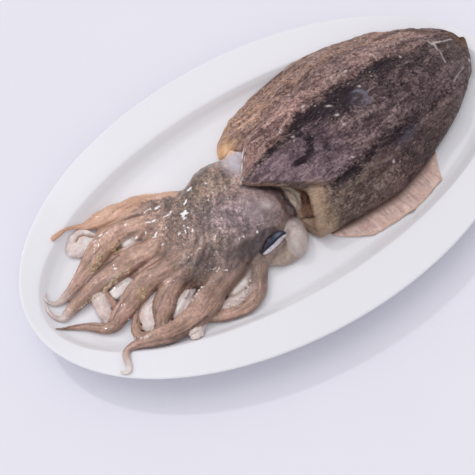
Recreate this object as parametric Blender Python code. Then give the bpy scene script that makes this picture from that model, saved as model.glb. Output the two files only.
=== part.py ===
"""Whole raw cuttlefish lying on its oval porcelain platter.

Metres, +Z up. The origin is under the middle of the platter, on the plane that
its foot stands on. +X runs along the platter's long axis, towards the end where
the mantle's tail lies; the arms spread towards -X. The animal is one solid: the
mantle with its fins and open collar, the head with one eye and the funnel, and
the arms. The lengths below are in millimetres and are scaled by MM.
"""

import math

import bmesh
import bpy
import numpy as np

MM = 0.001
GAP = 0.3                    # between the animal and the glaze it lies on

# ---- platter ---------------------------------------------------------------
PLATTER_HALF_LENGTH = 200.0
PLATTER_HALF_WIDTH = 116.5
PLATTER_HEIGHT = 24.0
FLOOR_Z = 10.0               # top of the flat well floor
PLATTER_SEGMENTS = 64
# Upper side from the middle out: half length, half width, height.
PLATTER_TOP = (
    (168.0, 66.0, FLOOR_Z),
    (177.0, 73.5, FLOOR_Z + 0.9),
    (184.0, 79.5, FLOOR_Z + 4.0),
    (188.4, 83.6, FLOOR_Z + 8.2),
    (190.6, 86.2, FLOOR_Z + 10.4),
    (192.2, 90.0, FLOOR_Z + 11.2),
    (195.4, 102.0, FLOOR_Z + 12.6),
    (198.2, 113.4, FLOOR_Z + 13.8),
    (199.2, 115.6, PLATTER_HEIGHT),
)
# Lip, underside and foot ring, from the lip back to the middle.
PLATTER_UNDER = (
    (PLATTER_HALF_LENGTH, PLATTER_HALF_WIDTH, PLATTER_HEIGHT - 0.9),
    (199.3, 115.8, PLATTER_HEIGHT - 2.4),
    (195.5, 106.0, 19.0),
    (190.0, 88.0, 15.8),
    (182.5, 79.0, 9.4),
    (170.0, 69.0, 5.4),
    (153.0, 60.5, 4.6),
    (151.0, 58.5, 0.0),
    (146.5, 54.0, 0.0),
    (144.5, 52.0, 3.8),
)

# ---- mantle ----------------------------------------------------------------
MANTLE_ORIGIN = (-32.0, 4.0)         # below the tip of the dorsal shield
MANTLE_TURN = math.radians(4.5)      # axis against the platter's long axis
MANTLE_LENGTH = 221.0
NEAR_HALF_WIDTH = 66.5               # widest, without the fin
FAR_HALF_WIDTH = 57.5
NEAR_WIDEST_AT = 88.0
FAR_WIDEST_AT = 95.0
BACK_HEIGHT = 46.0                   # top of the back above the foot plane
SHIELD_TIP_HEIGHT = 36.0
TAIL_HEIGHT = 31.5
FLANK_LIFT = 6.0                     # height of the widest line above the glaze
COLLAR_WALL = 3.6                    # thickness of the free mantle edge
COLLAR_DEPTH = 26.0                  # how far the mantle opening reaches in
SHIELD_NEAR = 38.0                   # grooves beside the raised shield
SHIELD_FAR = 31.0
GROOVE_DEPTH = 1.6
FIN_THICKNESS = 2.6
NEAR_FIN_WIDTH = 13.0
FAR_FIN_WIDTH = 9.0

# ---- head and arms ---------------------------------------------------------
# Rounded masses of the head: centre, half sizes, turn about Z in degrees.
HEAD_MASSES = {
    "near_eye_bulge": ((-35.0, -27.0, 17.5), (19.0, 17.0, 14.5), 25.0),
    "funnel": ((-22.0, -42.5, 14.5), (8.0, 12.0, 6.5), 32.0),
    "funnel_flap": ((-34.0, -47.5, 12.5), (15.0, 7.0, 4.2), -28.0),
}
# The head from inside the mantle to the web between the arms:
# place along X, near and far edge across it, height of its top.
HEAD_SECTIONS = (
    (6.0, -24.0, 24.0, 29.0),
    (-12.0, -30.0, 30.0, 32.5),
    (-30.0, -39.0, 38.5, 34.0),
    (-48.0, -42.0, 44.0, 34.0),
    (-66.0, -39.0, 38.0, 31.5),
    (-84.0, -34.0, 36.0, 26.5),
    (-102.0, -27.0, 36.0, 20.5),
    (-120.0, -17.0, 31.0, 15.0),
)
# Each arm: plan route, then radius at base, middle and tip, then how far its
# base and its tip are raised off the glaze by what it lies on.
ARMS = {
    "far_arm": (((-54, 26), (-85, 41), (-104, 45), (-120, 49), (-136, 52), (-157, 49)), (8.0, 6.0, 1.8), (3.0, 0.0)),
    "pale_curl": (((-104, 34), (-126, 39), (-138, 48), (-147, 45), (-147, 38), (-139, 34)), (4.6, 4.2, 3.4), (0.0, 0.0)),
    "upper_arm": (((-68, 9), (-116, 26), (-137, 32), (-152, 22), (-168, 13), (-180, 12), (-182, 19)), (7.0, 4.6, 1.1), (4.0, 0.0)),
    "left_arm": (((-64, -6), (-102, 4), (-136, 7), (-158, 6), (-173, 1), (-183, 2), (-184, 13)), (8.0, 6.2, 1.2), (5.0, 0.0)),
    "middle_arm": (((-66, -17), (-94, -13), (-114, -11), (-132, -10), (-143, -16), (-154, -22), (-163, -19), (-174, -9), (-189, -8)), (8.5, 7.0, 1.1), (4.0, 0.0)),
    "pale_arm": (((-147, 7), (-152, -5), (-155, -15), (-153, -24)), (4.4, 5.4, 3.6), (0.0, 0.0)),
    "hooked_arm": (((-124, -8), (-134, -16), (-142, -24), (-146, -34), (-144, -40), (-137, -39)), (3.4, 2.8, 2.2), (0.0, 0.0)),
    "short_arm": (((-82, -10), (-100, -17), (-112, -24), (-121, -30), (-128, -37), (-135, -45)), (8.0, 7.6, 3.4), (1.0, 0.0)),
    "front_arm": (((-60, -26), (-84, -37), (-103, -46), (-120, -51), (-142, -49), (-157, -48), (-164, -55), (-166, -63), (-171, -61)), (10.5, 6.6, 1.2), (2.0, 0.4)),
    "club_tip": (((-104, -50), (-110, -58), (-116, -65)), (3.0, 3.8, 2.8), (0.0, 0.0)),
    "looped_arm": (((-50, -40), (-59, -53), (-68, -62), (-80, -64), (-94, -60), (-106, -54)), (6.5, 4.4, 3.2), (0.0, 0.0)),
}
ARM_SIDES = 9
ARM_STEP = 6.8               # distance between rings along an arm

ANIMAL_SKIN = (0.145, 0.105, 0.092, 1.0)
GLAZE = (0.80, 0.79, 0.82, 1.0)


def clear_scene():
    for obj in list(bpy.data.objects):
        bpy.data.objects.remove(obj, do_unlink=True)


def material(name, colour, roughness, metallic=0.0):
    mat = bpy.data.materials.new(name)
    mat.use_nodes = True
    shader = mat.node_tree.nodes["Principled BSDF"]
    shader.inputs["Base Color"].default_value = colour
    shader.inputs["Roughness"].default_value = roughness
    shader.inputs["Metallic"].default_value = metallic
    return mat


def platter_top(x, y):
    """Height of the glaze under a point, read between the platter's rings."""
    inner = PLATTER_TOP[0]
    out = np.hypot(x / inner[0], y / inner[1])
    if out <= 1.0:
        return inner[2]
    for outer in PLATTER_TOP[1:]:
        level = np.hypot(x / outer[0], y / outer[1])
        if level <= 1.0:
            share = (out - 1.0) / max(out - level, 1e-9)
            return inner[2] + share * (outer[2] - inner[2])
        inner, out = outer, level
    return PLATTER_HEIGHT


def smooth_route(points, count):
    """Catmull-Rom curve through the points, read at even steps along it."""
    points = np.asarray(points, float)
    padded = np.vstack((2 * points[0] - points[1], points, 2 * points[-1] - points[-2]))
    fine = []
    for i in range(1, len(padded) - 2):
        p0, p1, p2, p3 = padded[i - 1 : i + 3]
        for t in np.linspace(0, 1, 16, endpoint=False):
            fine.append(
                0.5 * (2 * p1 + (p2 - p0) * t + (2 * p0 - 5 * p1 + 4 * p2 - p3) * t * t
                       + (3 * p1 - p0 - 3 * p2 + p3) * t ** 3)
            )
    fine.append(points[-1])
    fine = np.array(fine)
    run = np.concatenate(([0], np.cumsum(np.linalg.norm(np.diff(fine, axis=0), axis=1))))
    count = max(count, 2) if isinstance(count, int) else max(6, int(round(run[-1] / count)))
    at = np.linspace(0, run[-1], count + 1)
    return np.stack([np.interp(at, run, fine[:, k]) for k in range(points.shape[1])], axis=1)


def loft(name, rings, mat, hidden=True):
    """Closed body through equal rings, capped at both ends with a fan."""
    bm = bmesh.new()
    made = [[bm.verts.new(np.asarray(p) * MM) for p in ring] for ring in rings]
    count = len(made[0])
    for a, b in zip(made, made[1:]):
        for k in range(count):
            bm.faces.new((a[k], a[(k + 1) % count], b[(k + 1) % count], b[k]))
    for ring, flip in ((made[0], True), (made[-1], False)):
        middle = bm.verts.new(sum((v.co for v in ring), start=ring[0].co * 0) / count)
        for k in range(count):
            corner = (ring[k], ring[(k + 1) % count], middle)
            bm.faces.new(corner[::-1] if flip else corner)
    bmesh.ops.recalc_face_normals(bm, faces=bm.faces)
    if bm.calc_volume(signed=True) < 0:
        bmesh.ops.reverse_faces(bm, faces=bm.faces)
    return finish(name, bm, mat, hidden)


def finish(name, bm, mat, hidden):
    mesh = bpy.data.meshes.new(name)
    bm.to_mesh(mesh)
    bm.free()
    mesh.shade_smooth()
    mesh.set_sharp_from_angle(angle=math.radians(50))
    mesh.materials.append(mat)
    obj = bpy.data.objects.new(name, mesh)
    bpy.context.scene.collection.objects.link(obj)
    if hidden:
        obj.hide_render = True
        obj.display_type = "WIRE"
    return obj


def ellipse(half_length, half_width, z, count=PLATTER_SEGMENTS):
    return [
        (half_length * math.cos(a), half_width * math.sin(a), z)
        for a in (2 * math.pi * k / count for k in range(count))
    ]


def build_platter(glaze):
    rings = [ellipse(*row) for row in PLATTER_TOP + PLATTER_UNDER]
    return loft("platter", rings, glaze, hidden=False)


def build_glaze_cutter(glaze):
    """Everything below the glaze and GAP above it, to trim the animal's underside."""
    rings = [ellipse(a, b, z + GAP) for a, b, z in PLATTER_TOP]
    rings.append(ellipse(PLATTER_HALF_LENGTH + 30, PLATTER_HALF_WIDTH + 30, PLATTER_HEIGHT + GAP))
    rings.append(ellipse(PLATTER_HALF_LENGTH + 30, PLATTER_HALF_WIDTH + 30, -30.0))
    return loft("glaze_cutter", rings, glaze)


def mantle_place(s, t, z):
    c, n = math.cos(MANTLE_TURN), math.sin(MANTLE_TURN)
    return (MANTLE_ORIGIN[0] + s * c - t * n, MANTLE_ORIGIN[1] + s * n + t * c, z)


def tail_taper(s, widest, power):
    if s <= widest:
        return 1.0
    x = min((s - widest) / (MANTLE_LENGTH - widest), 1.0)
    return math.sqrt(max(1.0 - x ** power, 0.0))


def near_half_width(s):
    front = max(NEAR_WIDEST_AT - s, 0.0) / 64.0
    return (NEAR_HALF_WIDTH - 8.0 * front ** 1.5) * tail_taper(s, NEAR_WIDEST_AT, 1.4)


def far_half_width(s):
    front = max(FAR_WIDEST_AT - s, 0.0) / 84.0
    return (FAR_HALF_WIDTH - 22.0 * front ** 2.4) * tail_taper(s, FAR_WIDEST_AT, 1.68)


def back_height(s):
    """Ridge line of the back, from the shield's tip over the hump to the tail."""
    if s < 100.0:
        return BACK_HEIGHT - (BACK_HEIGHT - SHIELD_TIP_HEIGHT) * ((100.0 - s) / 100.0) ** 1.6
    x = (s - 100.0) / (MANTLE_LENGTH - 100.0)
    return BACK_HEIGHT - (BACK_HEIGHT - TAIL_HEIGHT) * x ** 1.8


def front_margin(t):
    """Where the mantle's free front edge runs: a pointed shield between two collars."""
    rows = ((-70, 24.0), (-52, 25.0), (-41, 31.0), (-31, 31.0), (-21, 22.0), (-10, 9.5),
            (2, 0.0), (13, 9.0), (24, 18.0), (33, 15.0), (42, 11.0), (60, 12.0))
    return float(np.interp(t, [r[0] for r in rows], [r[1] for r in rows]))


def mantle_ring(forward, inset, count=38):
    """One ring of the mantle at a share of its length, moved inwards by inset."""
    ring = []
    for k in range(count):
        angle = 2 * math.pi * k / count
        across, rise = math.cos(angle), math.sin(angle)
        # The margin is read at the side position that the ring has at the front.
        width0 = far_half_width(20.0) if across > 0 else near_half_width(30.0)
        start = front_margin(across * width0) if rise >= 0 else 26.0 - 12.0 * max(across, 0.0)
        s = start + forward * (MANTLE_LENGTH - 0.05 - start)
        width = (far_half_width(s) if across > 0 else near_half_width(s)) - inset
        width = max(width, 0.4)
        flat = math.copysign(abs(across) ** (0.92 if across < 0 else 1.0), across)
        t = flat * width
        x, y, _ = mantle_place(s, t, 0)
        edge_x, edge_y, _ = mantle_place(s, math.copysign(width, across), 0)
        edge = platter_top(edge_x, edge_y) + FLANK_LIFT
        blend = min(abs(flat) * 1.15, 1.0)
        middle = 0.5 * (platter_top(*mantle_place(s, -width, 0)[:2]) + platter_top(*mantle_place(s, width, 0)[:2]))
        edge = blend * edge + (1 - blend) * (middle + FLANK_LIFT)
        close = tail_taper(s, 172.0, 2.0)
        if rise >= 0:
            top = edge + (back_height(s) - inset - edge) * close
            z = edge + (top - edge) * rise ** (0.86 if across < 0 else 0.98)
            for side in (-SHIELD_NEAR, SHIELD_FAR):
                z -= GROOVE_DEPTH * close * math.exp(-(((t - side) / 4.0) ** 2)) * (inset == 0)
        else:
            low = platter_top(x, y) - 0.6 + inset
            z = edge + (low - edge) * min(1.0, abs(rise) ** 0.45)
        ring.append(mantle_place(s, t, z))
    return ring


def build_mantle(skin):
    inner = [mantle_ring(f, COLLAR_WALL) for f in (COLLAR_DEPTH / MANTLE_LENGTH, 0.06, 0.004)]
    lip = [mantle_ring(0.0, COLLAR_WALL * 0.55), mantle_ring(0.004, 0.0)]
    body = [1.0 - (1.0 - w) ** 1.6 for w in np.linspace(0.0, 1.0, 27)[1:]]
    outer = [mantle_ring(f, 0.0) for f in body[:-1]] + [mantle_ring(0.9975, 0.0)]
    return loft("mantle_body", inner + lip + outer, skin)


def build_fin(name, side, start, end, width, opening, corner, overlap, skin):
    """Thin flap along one flank, lying on the glaze. Opening says how fast it
    widens behind its front end, and corner is where it starts to end, as a
    share of its length."""
    rings = []
    for w in np.linspace(0.0, 1.0, 19):
        s = start + w * (end - start)
        half = near_half_width(s) if side < 0 else far_half_width(s)
        reach = width * min(1.0, opening * w) ** 0.75 * min(1.0, (1.0 - w) / (1.0 - corner)) + 0.8
        section = []
        for inward, up in ((overlap, 0.0), (0.3 * overlap, 0.0), (-0.55 * reach, 0.0), (-reach + 1.0, 0.12),
                           (-reach, 0.5), (-reach + 1.0, 0.88), (-0.55 * reach, 1.0), (0.3 * overlap, 1.2),
                           (overlap, 1.4)):
            t = side * (half - inward)
            x, y, _ = mantle_place(s, t, 0)
            section.append((x, y, platter_top(x, y) + 0.5 + FIN_THICKNESS * up))
        rings.append(section)
    return loft(name, rings, skin)


def build_arm(name, route, radii, lifts, skin):
    line = smooth_route(route, ARM_STEP)
    count = len(line)
    rings = []
    for i, (x, y) in enumerate(line):
        w = i / (count - 1)
        radius = np.interp(w, (0.0, 0.5, 1.0), radii)
        lift = lifts[0] * (1 - w) ** 2 + lifts[1] * w
        ahead = line[min(i + 1, count - 1)] - line[max(i - 1, 0)]
        ahead /= np.linalg.norm(ahead)
        side = np.array((-ahead[1], ahead[0]))
        z = max(platter_top(*(line[i] + side * d * radius)) for d in (-1, 0, 1)) + 0.92 * radius + lift
        ring = []
        for k in range(ARM_SIDES):
            a = 2 * math.pi * (k + 0.5) / ARM_SIDES
            p = line[i] + side * radius * math.cos(a)
            ring.append((p[0], p[1], z + 0.92 * radius * math.sin(a)))
        rings.append(ring)
    return loft(name, rings, skin)


def build_head(skin):
    """One rounded body, flat below, from the neck to the web between the arms."""
    rows = smooth_route(HEAD_SECTIONS, 15)
    rings = []
    for x, near, far, top in rows:
        middle, half = 0.5 * (near + far), 0.5 * (far - near)
        low = FLOOR_Z - 1.0
        edge = low + 0.36 * (top - low)
        ring = []
        for k in range(22):
            a = 2 * math.pi * k / 22
            rise = math.sin(a)
            y = middle + half * math.cos(a)
            z = edge + ((top - edge) * rise ** 0.9 if rise >= 0 else (low - edge) * abs(rise) ** 0.5)
            ring.append((x, y, z))
        rings.append(ring)
    return loft("head", rings, skin)


def build_mass(name, centre, half_sizes, turn, skin):
    bm = bmesh.new()
    bmesh.ops.create_uvsphere(bm, u_segments=16, v_segments=9, radius=1.0)
    c, n = math.cos(math.radians(turn)), math.sin(math.radians(turn))
    for v in bm.verts:
        x, y, z = (v.co[k] * half_sizes[k] for k in range(3))
        v.co = ((centre[0] + x * c - y * n) * MM, (centre[1] + x * n + y * c) * MM, (centre[2] + z) * MM)
    return finish(name, bm, skin, True)


def build_cuttlefish(skin, cutter):
    animal = build_mantle(skin)
    animal.name = "cuttlefish"
    animal.hide_render = False
    animal.display_type = "TEXTURED"
    members = [
        build_fin("near_fin", -1, 28.0, 136.0, NEAR_FIN_WIDTH, 2.4, 0.8, 9.0, skin),
        build_fin("far_fin", 1, 9.0, 204.0, FAR_FIN_WIDTH, 9.0, 0.6, 9.0, skin),
        build_head(skin),
    ]
    members += [build_mass(name, *row, skin) for name, row in HEAD_MASSES.items()]
    members += [build_arm(name, *row, skin) for name, row in ARMS.items()]
    for obj in members:
        join = animal.modifiers.new("join_" + obj.name, "BOOLEAN")
        join.operation = "UNION"
        join.object = obj
    trim = animal.modifiers.new("trim", "BOOLEAN")
    trim.operation = "DIFFERENCE"
    trim.object = cutter
    return animal


def main():
    clear_scene()
    glaze = material("white_glaze", GLAZE, 0.12)
    skin = material("cuttlefish_skin", ANIMAL_SKIN, 0.35)
    build_platter(glaze)
    build_cuttlefish(skin, build_glaze_cutter(glaze))


main()
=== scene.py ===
"""Looks of a whole raw cuttlefish lying on a white oval porcelain platter."""
import math

import bpy
import numpy as np
from mathutils import Matrix


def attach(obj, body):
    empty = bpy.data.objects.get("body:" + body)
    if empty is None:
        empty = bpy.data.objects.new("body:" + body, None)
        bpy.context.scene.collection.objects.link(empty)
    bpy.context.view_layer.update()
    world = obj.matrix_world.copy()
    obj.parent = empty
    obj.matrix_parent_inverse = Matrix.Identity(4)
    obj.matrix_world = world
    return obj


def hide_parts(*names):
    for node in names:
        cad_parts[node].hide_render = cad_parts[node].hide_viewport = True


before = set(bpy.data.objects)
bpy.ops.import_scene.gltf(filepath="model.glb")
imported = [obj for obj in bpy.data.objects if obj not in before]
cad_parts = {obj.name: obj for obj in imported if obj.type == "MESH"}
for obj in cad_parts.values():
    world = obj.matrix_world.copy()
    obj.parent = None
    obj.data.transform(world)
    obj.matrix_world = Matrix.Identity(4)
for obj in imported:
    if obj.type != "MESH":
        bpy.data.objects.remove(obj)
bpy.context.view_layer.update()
MM = 0.001


# ---------------------------------------------------------------------------
# small mathematics
# ---------------------------------------------------------------------------
def table(x, rows):
    """Smooth curve through rows of (place, value), flat beyond both ends."""
    xs = np.array([r[0] for r in rows], float)
    ys = np.array([r[1] for r in rows], float)
    x = np.clip(np.asarray(x, float), xs[0], xs[-1])
    slope = np.gradient(ys, xs)
    i = np.clip(np.searchsorted(xs, x, side="right") - 1, 0, len(xs) - 2)
    h = xs[i + 1] - xs[i]
    u = (x - xs[i]) / h
    return ((2 * u ** 3 - 3 * u ** 2 + 1) * ys[i] + (u ** 3 - 2 * u ** 2 + u) * h * slope[i]
            + (-2 * u ** 3 + 3 * u ** 2) * ys[i + 1] + (u ** 3 - u ** 2) * h * slope[i + 1])


def smooth(lo, hi, x):
    u = np.clip((np.asarray(x, float) - lo) / (hi - lo), 0.0, 1.0)
    return u * u * (3.0 - 2.0 * u)


def bell(x, centre, width):
    return np.exp(-((np.asarray(x, float) - centre) / width) ** 2)


def blob(s, t, cs, ct, ws, wt, turn=0.0):
    """A soft oval patch at (cs, ct)."""
    c, n = math.cos(math.radians(turn)), math.sin(math.radians(turn))
    a, b = (s - cs) * c + (t - ct) * n, -(s - cs) * n + (t - ct) * c
    return np.exp(-(a / ws) ** 2 - (b / wt) ** 2)


def _hash(ix, iy, iz, seed):
    h = (ix.astype(np.int64) * 73856093) ^ (iy.astype(np.int64) * 19349663) ^ (iz.astype(np.int64) * 83492791)
    h = (h ^ (seed * 2654435761)) & 0xFFFFFFFF
    h = ((h ^ (h >> 15)) * 2246822519) & 0xFFFFFFFF
    h = ((h ^ (h >> 13)) * 3266489917) & 0xFFFFFFFF
    h = h ^ (h >> 16)
    return h.astype(np.float64) / 4294967295.0 * 2.0 - 1.0


def noise(x, y, z, seed=0, octaves=1, gain=0.5):
    """Value noise from -1 to 1, with one lattice step per unit."""
    x, y, z = np.broadcast_arrays(np.asarray(x, float), np.asarray(y, float), np.asarray(z, float))
    total, amp, norm = np.zeros(x.shape), 1.0, 0.0
    for o in range(octaves):
        f = 2.03 ** o
        px, py, pz = x * f + 17.3 * o, y * f + 5.1 * o, z * f + 9.7 * o
        ix, iy, iz = np.floor(px), np.floor(py), np.floor(pz)
        fx, fy, fz = px - ix, py - iy, pz - iz
        wx, wy, wz = (q * q * q * (q * (q * 6 - 15) + 10) for q in (fx, fy, fz))
        value = 0.0
        for dx in (0, 1):
            for dy in (0, 1):
                for dz in (0, 1):
                    w = (wx if dx else 1 - wx) * (wy if dy else 1 - wy) * (wz if dz else 1 - wz)
                    value = value + w * _hash(ix + dx, iy + dy, iz + dz, seed + 31 * o)
        total += amp * value
        norm += amp
        amp *= gain
    return total / norm


def route(rows, step):
    """Catmull-Rom curve through rows of numbers; the first two are the plan place."""
    rows = np.asarray(rows, float)
    padded = np.vstack((2 * rows[0] - rows[1], rows, 2 * rows[-1] - rows[-2]))
    fine = []
    for i in range(1, len(padded) - 2):
        p0, p1, p2, p3 = padded[i - 1: i + 3]
        for u in np.linspace(0, 1, 12, endpoint=False):
            fine.append(0.5 * (2 * p1 + (p2 - p0) * u + (2 * p0 - 5 * p1 + 4 * p2 - p3) * u * u
                               + (3 * p1 - p0 - 3 * p2 + p3) * u ** 3))
    fine.append(rows[-1])
    fine = np.array(fine)
    run = np.concatenate(([0], np.cumsum(np.linalg.norm(np.diff(fine[:, :2], axis=0), axis=1))))
    at = np.linspace(0, run[-1], max(4, int(run[-1] / step)) + 1)
    return at, np.stack([np.interp(at, run, fine[:, k]) for k in range(rows.shape[1])], axis=1)


# ---------------------------------------------------------------------------
# meshes
# ---------------------------------------------------------------------------
def make_object(name, verts_mm, faces, attributes=None, smooth_shade=True):
    """Mesh object from arrays; faces is an (n, 3) or (n, 4) array of points."""
    verts = np.asarray(verts_mm, np.float64) * MM
    faces = np.asarray(faces, np.int32)
    mesh = bpy.data.meshes.new(name)
    mesh.vertices.add(len(verts))
    mesh.vertices.foreach_set("co", verts.astype(np.float32).ravel())
    mesh.loops.add(faces.size)
    mesh.loops.foreach_set("vertex_index", faces.ravel())
    mesh.polygons.add(len(faces))
    mesh.polygons.foreach_set("loop_start", np.arange(0, faces.size, faces.shape[1], dtype=np.int32))
    mesh.update(calc_edges=True)
    mesh.validate()
    if smooth_shade:
        mesh.shade_smooth()
    for key, values in (attributes or {}).items():
        layer = mesh.attributes.new(key, "FLOAT", "POINT")
        layer.data.foreach_set("value", np.asarray(values, np.float32).ravel())
    obj = bpy.data.objects.new(name, mesh)
    bpy.context.scene.collection.objects.link(obj)
    return obj


def grid_faces(rows, cols, wrap):
    r = np.arange(rows - 1)[:, None]
    c = np.arange(cols if wrap else cols - 1)[None, :]
    c2 = (c + 1) % cols
    a, b = r * cols + c, r * cols + c2
    return np.stack((a, b, b + cols, a + cols), axis=-1).reshape(-1, 4)


def fan(ring, centre, flip):
    nxt = np.roll(ring, -1)
    tri = np.stack((ring, nxt, np.full(len(ring), centre)), axis=1)
    return tri[:, ::-1] if flip else tri


def normals_of(verts, quads):
    d1 = verts[quads[:, 2]] - verts[quads[:, 0]]
    d2 = verts[quads[:, 3 if quads.shape[1] == 4 else 1]] - verts[quads[:, 1 if quads.shape[1] == 4 else 0]]
    n = np.cross(d1, d2) if quads.shape[1] == 4 else np.cross(verts[quads[:, 1]] - verts[quads[:, 0]],
                                                               verts[quads[:, 2]] - verts[quads[:, 0]])
    out = np.zeros_like(verts)
    for k in range(quads.shape[1]):
        np.add.at(out, quads[:, k], n)
    return out / (np.linalg.norm(out, axis=1, keepdims=True) + 1e-12)


# ---------------------------------------------------------------------------
# materials
# ---------------------------------------------------------------------------
def rgb(r, g, b):
    """Linear colour of an sRGB value written 0 to 255."""
    return tuple((v / 255 / 12.92 if v / 255 <= 0.04045 else ((v / 255 + 0.055) / 1.055) ** 2.4)
                 for v in (r, g, b)) + (1.0,)


class Shade:
    """Short names for shader nodes."""

    def __init__(self, name):
        self.mat = bpy.data.materials.new(name)
        self.mat.use_nodes = True
        self.tree = self.mat.node_tree
        self.bsdf = self.tree.nodes["Principled BSDF"]

    def node(self, kind, **values):
        n = self.tree.nodes.new(kind)
        for k, v in values.items():
            setattr(n, k, v)
        return n

    def put(self, socket, value):
        if isinstance(value, bpy.types.NodeSocket):
            self.tree.links.new(value, socket)
        else:
            socket.default_value = value

    def set(self, **values):
        for k, v in values.items():
            self.put(self.bsdf.inputs[k.replace("_", " ")], v)

    def attribute(self, name):
        return self.node("ShaderNodeAttribute", attribute_name=name, attribute_type="GEOMETRY").outputs["Fac"]

    def place(self):
        return self.node("ShaderNodeTexCoord").outputs["Object"]

    def combine(self, x, y, z):
        n = self.node("ShaderNodeCombineXYZ")
        for i, v in enumerate((x, y, z)):
            self.put(n.inputs[i], v)
        return n.outputs[0]

    def noise(self, vector, scale, detail=4.0, rough=0.55, distort=0.0, kind="FBM"):
        n = self.node("ShaderNodeTexNoise")
        self.put(n.inputs["Vector"], vector)
        n.inputs["Scale"].default_value = scale
        n.inputs["Detail"].default_value = detail
        n.inputs["Roughness"].default_value = rough
        n.inputs["Distortion"].default_value = distort
        return n.outputs["Fac"]

    def voronoi(self, vector, scale, feature="F1", randomness=1.0):
        n = self.node("ShaderNodeTexVoronoi", feature=feature)
        self.put(n.inputs["Vector"], vector)
        n.inputs["Scale"].default_value = scale
        n.inputs["Randomness"].default_value = randomness
        return n.outputs["Distance"]

    def dot(self, vector, along):
        n = self.node("ShaderNodeVectorMath", operation="DOT_PRODUCT")
        self.put(n.inputs[0], vector)
        n.inputs[1].default_value = along
        return n.outputs["Value"]

    def m(self, op, a, b=0.0, clamp=False):
        n = self.node("ShaderNodeMath", operation=op, use_clamp=clamp)
        self.put(n.inputs[0], a)
        self.put(n.inputs[1], b)
        return n.outputs[0]

    def range(self, value, lo, hi, to_lo=0.0, to_hi=1.0, soft=False):
        n = self.node("ShaderNodeMapRange", clamp=True)
        if soft:
            n.interpolation_type = "SMOOTHSTEP"
        for i, v in enumerate((value, lo, hi, to_lo, to_hi)):
            self.put(n.inputs[i], v)
        return n.outputs[0]

    def mix(self, fac, a, b, blend="MIX"):
        n = self.node("ShaderNodeMix", data_type="RGBA", blend_type=blend)
        self.put(n.inputs[0], fac)
        self.put(n.inputs[6], a)
        self.put(n.inputs[7], b)
        return n.outputs[2]

    def scale_colour(self, colour, factor):
        """The colour times a number from a texture."""
        g = self.combine(factor, factor, factor)
        n = self.node("ShaderNodeVectorMath", operation="MULTIPLY")
        self.put(n.inputs[0], colour if isinstance(colour, bpy.types.NodeSocket) else colour[:3])
        self.put(n.inputs[1], g)
        return n.outputs[0]

    def bump(self, height, strength, distance_mm, below=None):
        n = self.node("ShaderNodeBump")
        n.inputs["Strength"].default_value = strength
        n.inputs["Distance"].default_value = distance_mm * MM
        self.put(n.inputs["Height"], height)
        if below is not None:
            self.put(n.inputs["Normal"], below)
        return n.outputs[0]


def wet(sh, roughness, coat=0.6, coat_rough=0.10, flesh=0.12, flesh_scale=0.0035, film=None):
    sh.bsdf.inputs["IOR"].default_value = 1.40
    sh.bsdf.inputs["Coat Weight"].default_value = coat
    sh.bsdf.inputs["Coat Roughness"].default_value = coat_rough
    sh.bsdf.inputs["Coat IOR"].default_value = 1.45
    sh.bsdf.inputs["Subsurface Weight"].default_value = flesh
    sh.bsdf.inputs["Subsurface Radius"].default_value = (1.0, 0.55, 0.42)
    sh.bsdf.inputs["Subsurface Scale"].default_value = flesh_scale
    sh.put(sh.bsdf.inputs["Roughness"], roughness)
    if film is not None:
        sh.put(sh.bsdf.inputs["Coat Normal"], film)


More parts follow.
